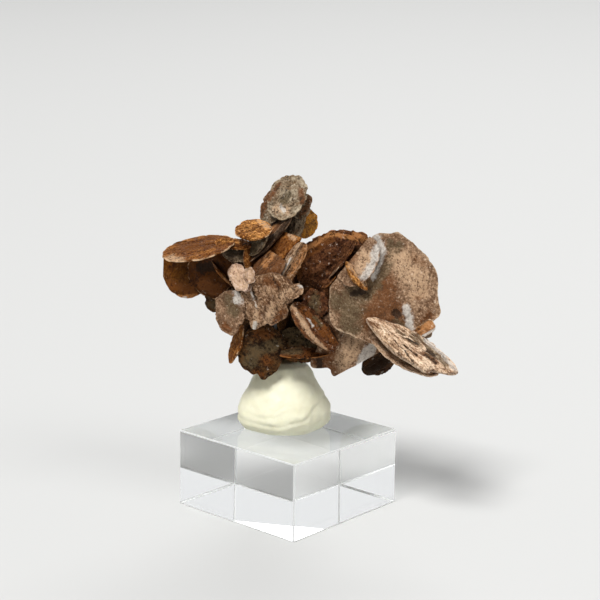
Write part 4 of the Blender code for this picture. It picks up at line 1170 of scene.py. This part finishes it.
studio = dict(
    # metres and watts
    floorSize=8.0, floorDrop=0.00002, floorTint=colour(0.58, 0.58, 0.57),
    skyStrength=0.26, skySeen=0.84, skyTint=colour(0.98, 0.99, 1.0),
    keyPlace=(-1.35, -2.25, 4.05), keySize=1.5, keyPower=235.0,
    fillPlace=(3.3, -2.5, 3.7), fillSize=2.4, fillPower=74.0,
    backPlace=(0.9, 3.9, 3.0), backSize=2.7, backPower=85.0,
    aim=(0.003, 0.0, 0.035),
)
camera = dict(place=(1.57, -251.4, 93.3), pitch=13.15, roll=-0.85, lens=96.0, sensor=36.0)   # mm, degrees


def makeFloor():
    bm = bmesh.new()
    bmesh.ops.create_grid(bm, x_segments=4, y_segments=4, size=studio["floorSize"])
    bmesh.ops.translate(bm, vec=(0.0, 0.0, -studio["floorDrop"]), verts=bm.verts)
    material, tree, shader = newMaterial("paleTable")
    fillInputs(tree, shader, {"Base Color": studio["floorTint"], "Roughness": 0.7})
    floor = addPiece("tableTop", bm, [material])


def addAreaLight(name, place, size, power):
    lamp = bpy.data.lights.new(name, "AREA")
    lamp.energy = power
    lamp.size = size
    item = bpy.data.objects.new(name, lamp)
    item.location = place
    item.rotation_euler = (Vector(studio["aim"]) - Vector(place)).to_track_quat("-Z", "Y").to_euler()
    bpy.context.scene.collection.objects.link(item)


def lightStudio():
    world = bpy.data.worlds.new("studioSky")
    world.use_nodes = True
    tree = world.node_tree
    # the horizon is as pale as the table, the light from it is weaker
    path = addNode(tree, "ShaderNodeLightPath", (-600, 200))
    seen, through = path.outputs["Is Camera Ray"], path.outputs["Is Transmission Ray"]
    direct = maths(tree, (-400, 200), "MAXIMUM", seen, through)
    extra = studio["skySeen"] - studio["skyStrength"]
    strength = maths(tree, (-200, 0), "MULTIPLY_ADD", direct, extra, studio["skyStrength"])
    fillInputs(tree, tree.nodes["Background"], {"Color": studio["skyTint"], "Strength": strength})
    bpy.context.scene.world = world
    for name in ("key", "fill", "back"):
        addAreaLight(name + "Light", studio[name + "Place"], studio[name + "Size"], studio[name + "Power"])


def placeCamera():
    view = bpy.data.cameras.new("viewCamera")
    view.lens = camera["lens"]
    view.sensor_width = camera["sensor"]
    view.clip_start = 0.01
    view.clip_end = 50.0
    item = bpy.data.objects.new("viewCamera", view)
    tilt = Matrix.Rotation(math.radians(90.0 - camera["pitch"]), 4, "X")
    roll = Matrix.Rotation(math.radians(-camera["roll"]), 4, "Z")
    item.matrix_world = Matrix.Translation(Vector(camera["place"]) * mm) @ tilt @ roll
    bpy.context.scene.collection.objects.link(item)
    bpy.context.scene.camera = item


calcitePiece = makeCalcite()
puttyPiece = makePutty(calcitePiece)
print("putty pressed on")
blockPiece = makeBlock()
print("block made")
for piece, node, slot in ((calcitePiece, "calcite_blades", "calcite"),
                          (puttyPiece, "mineral_putty", "putty"),
                          (blockPiece, "acrylic_base", "acrylic")):
    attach(piece, "root")
    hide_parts(node)
makeFloor()
lightStudio()
placeCamera()
bpy.context.scene.view_settings.view_transform = "Standard"
print("studio ready")
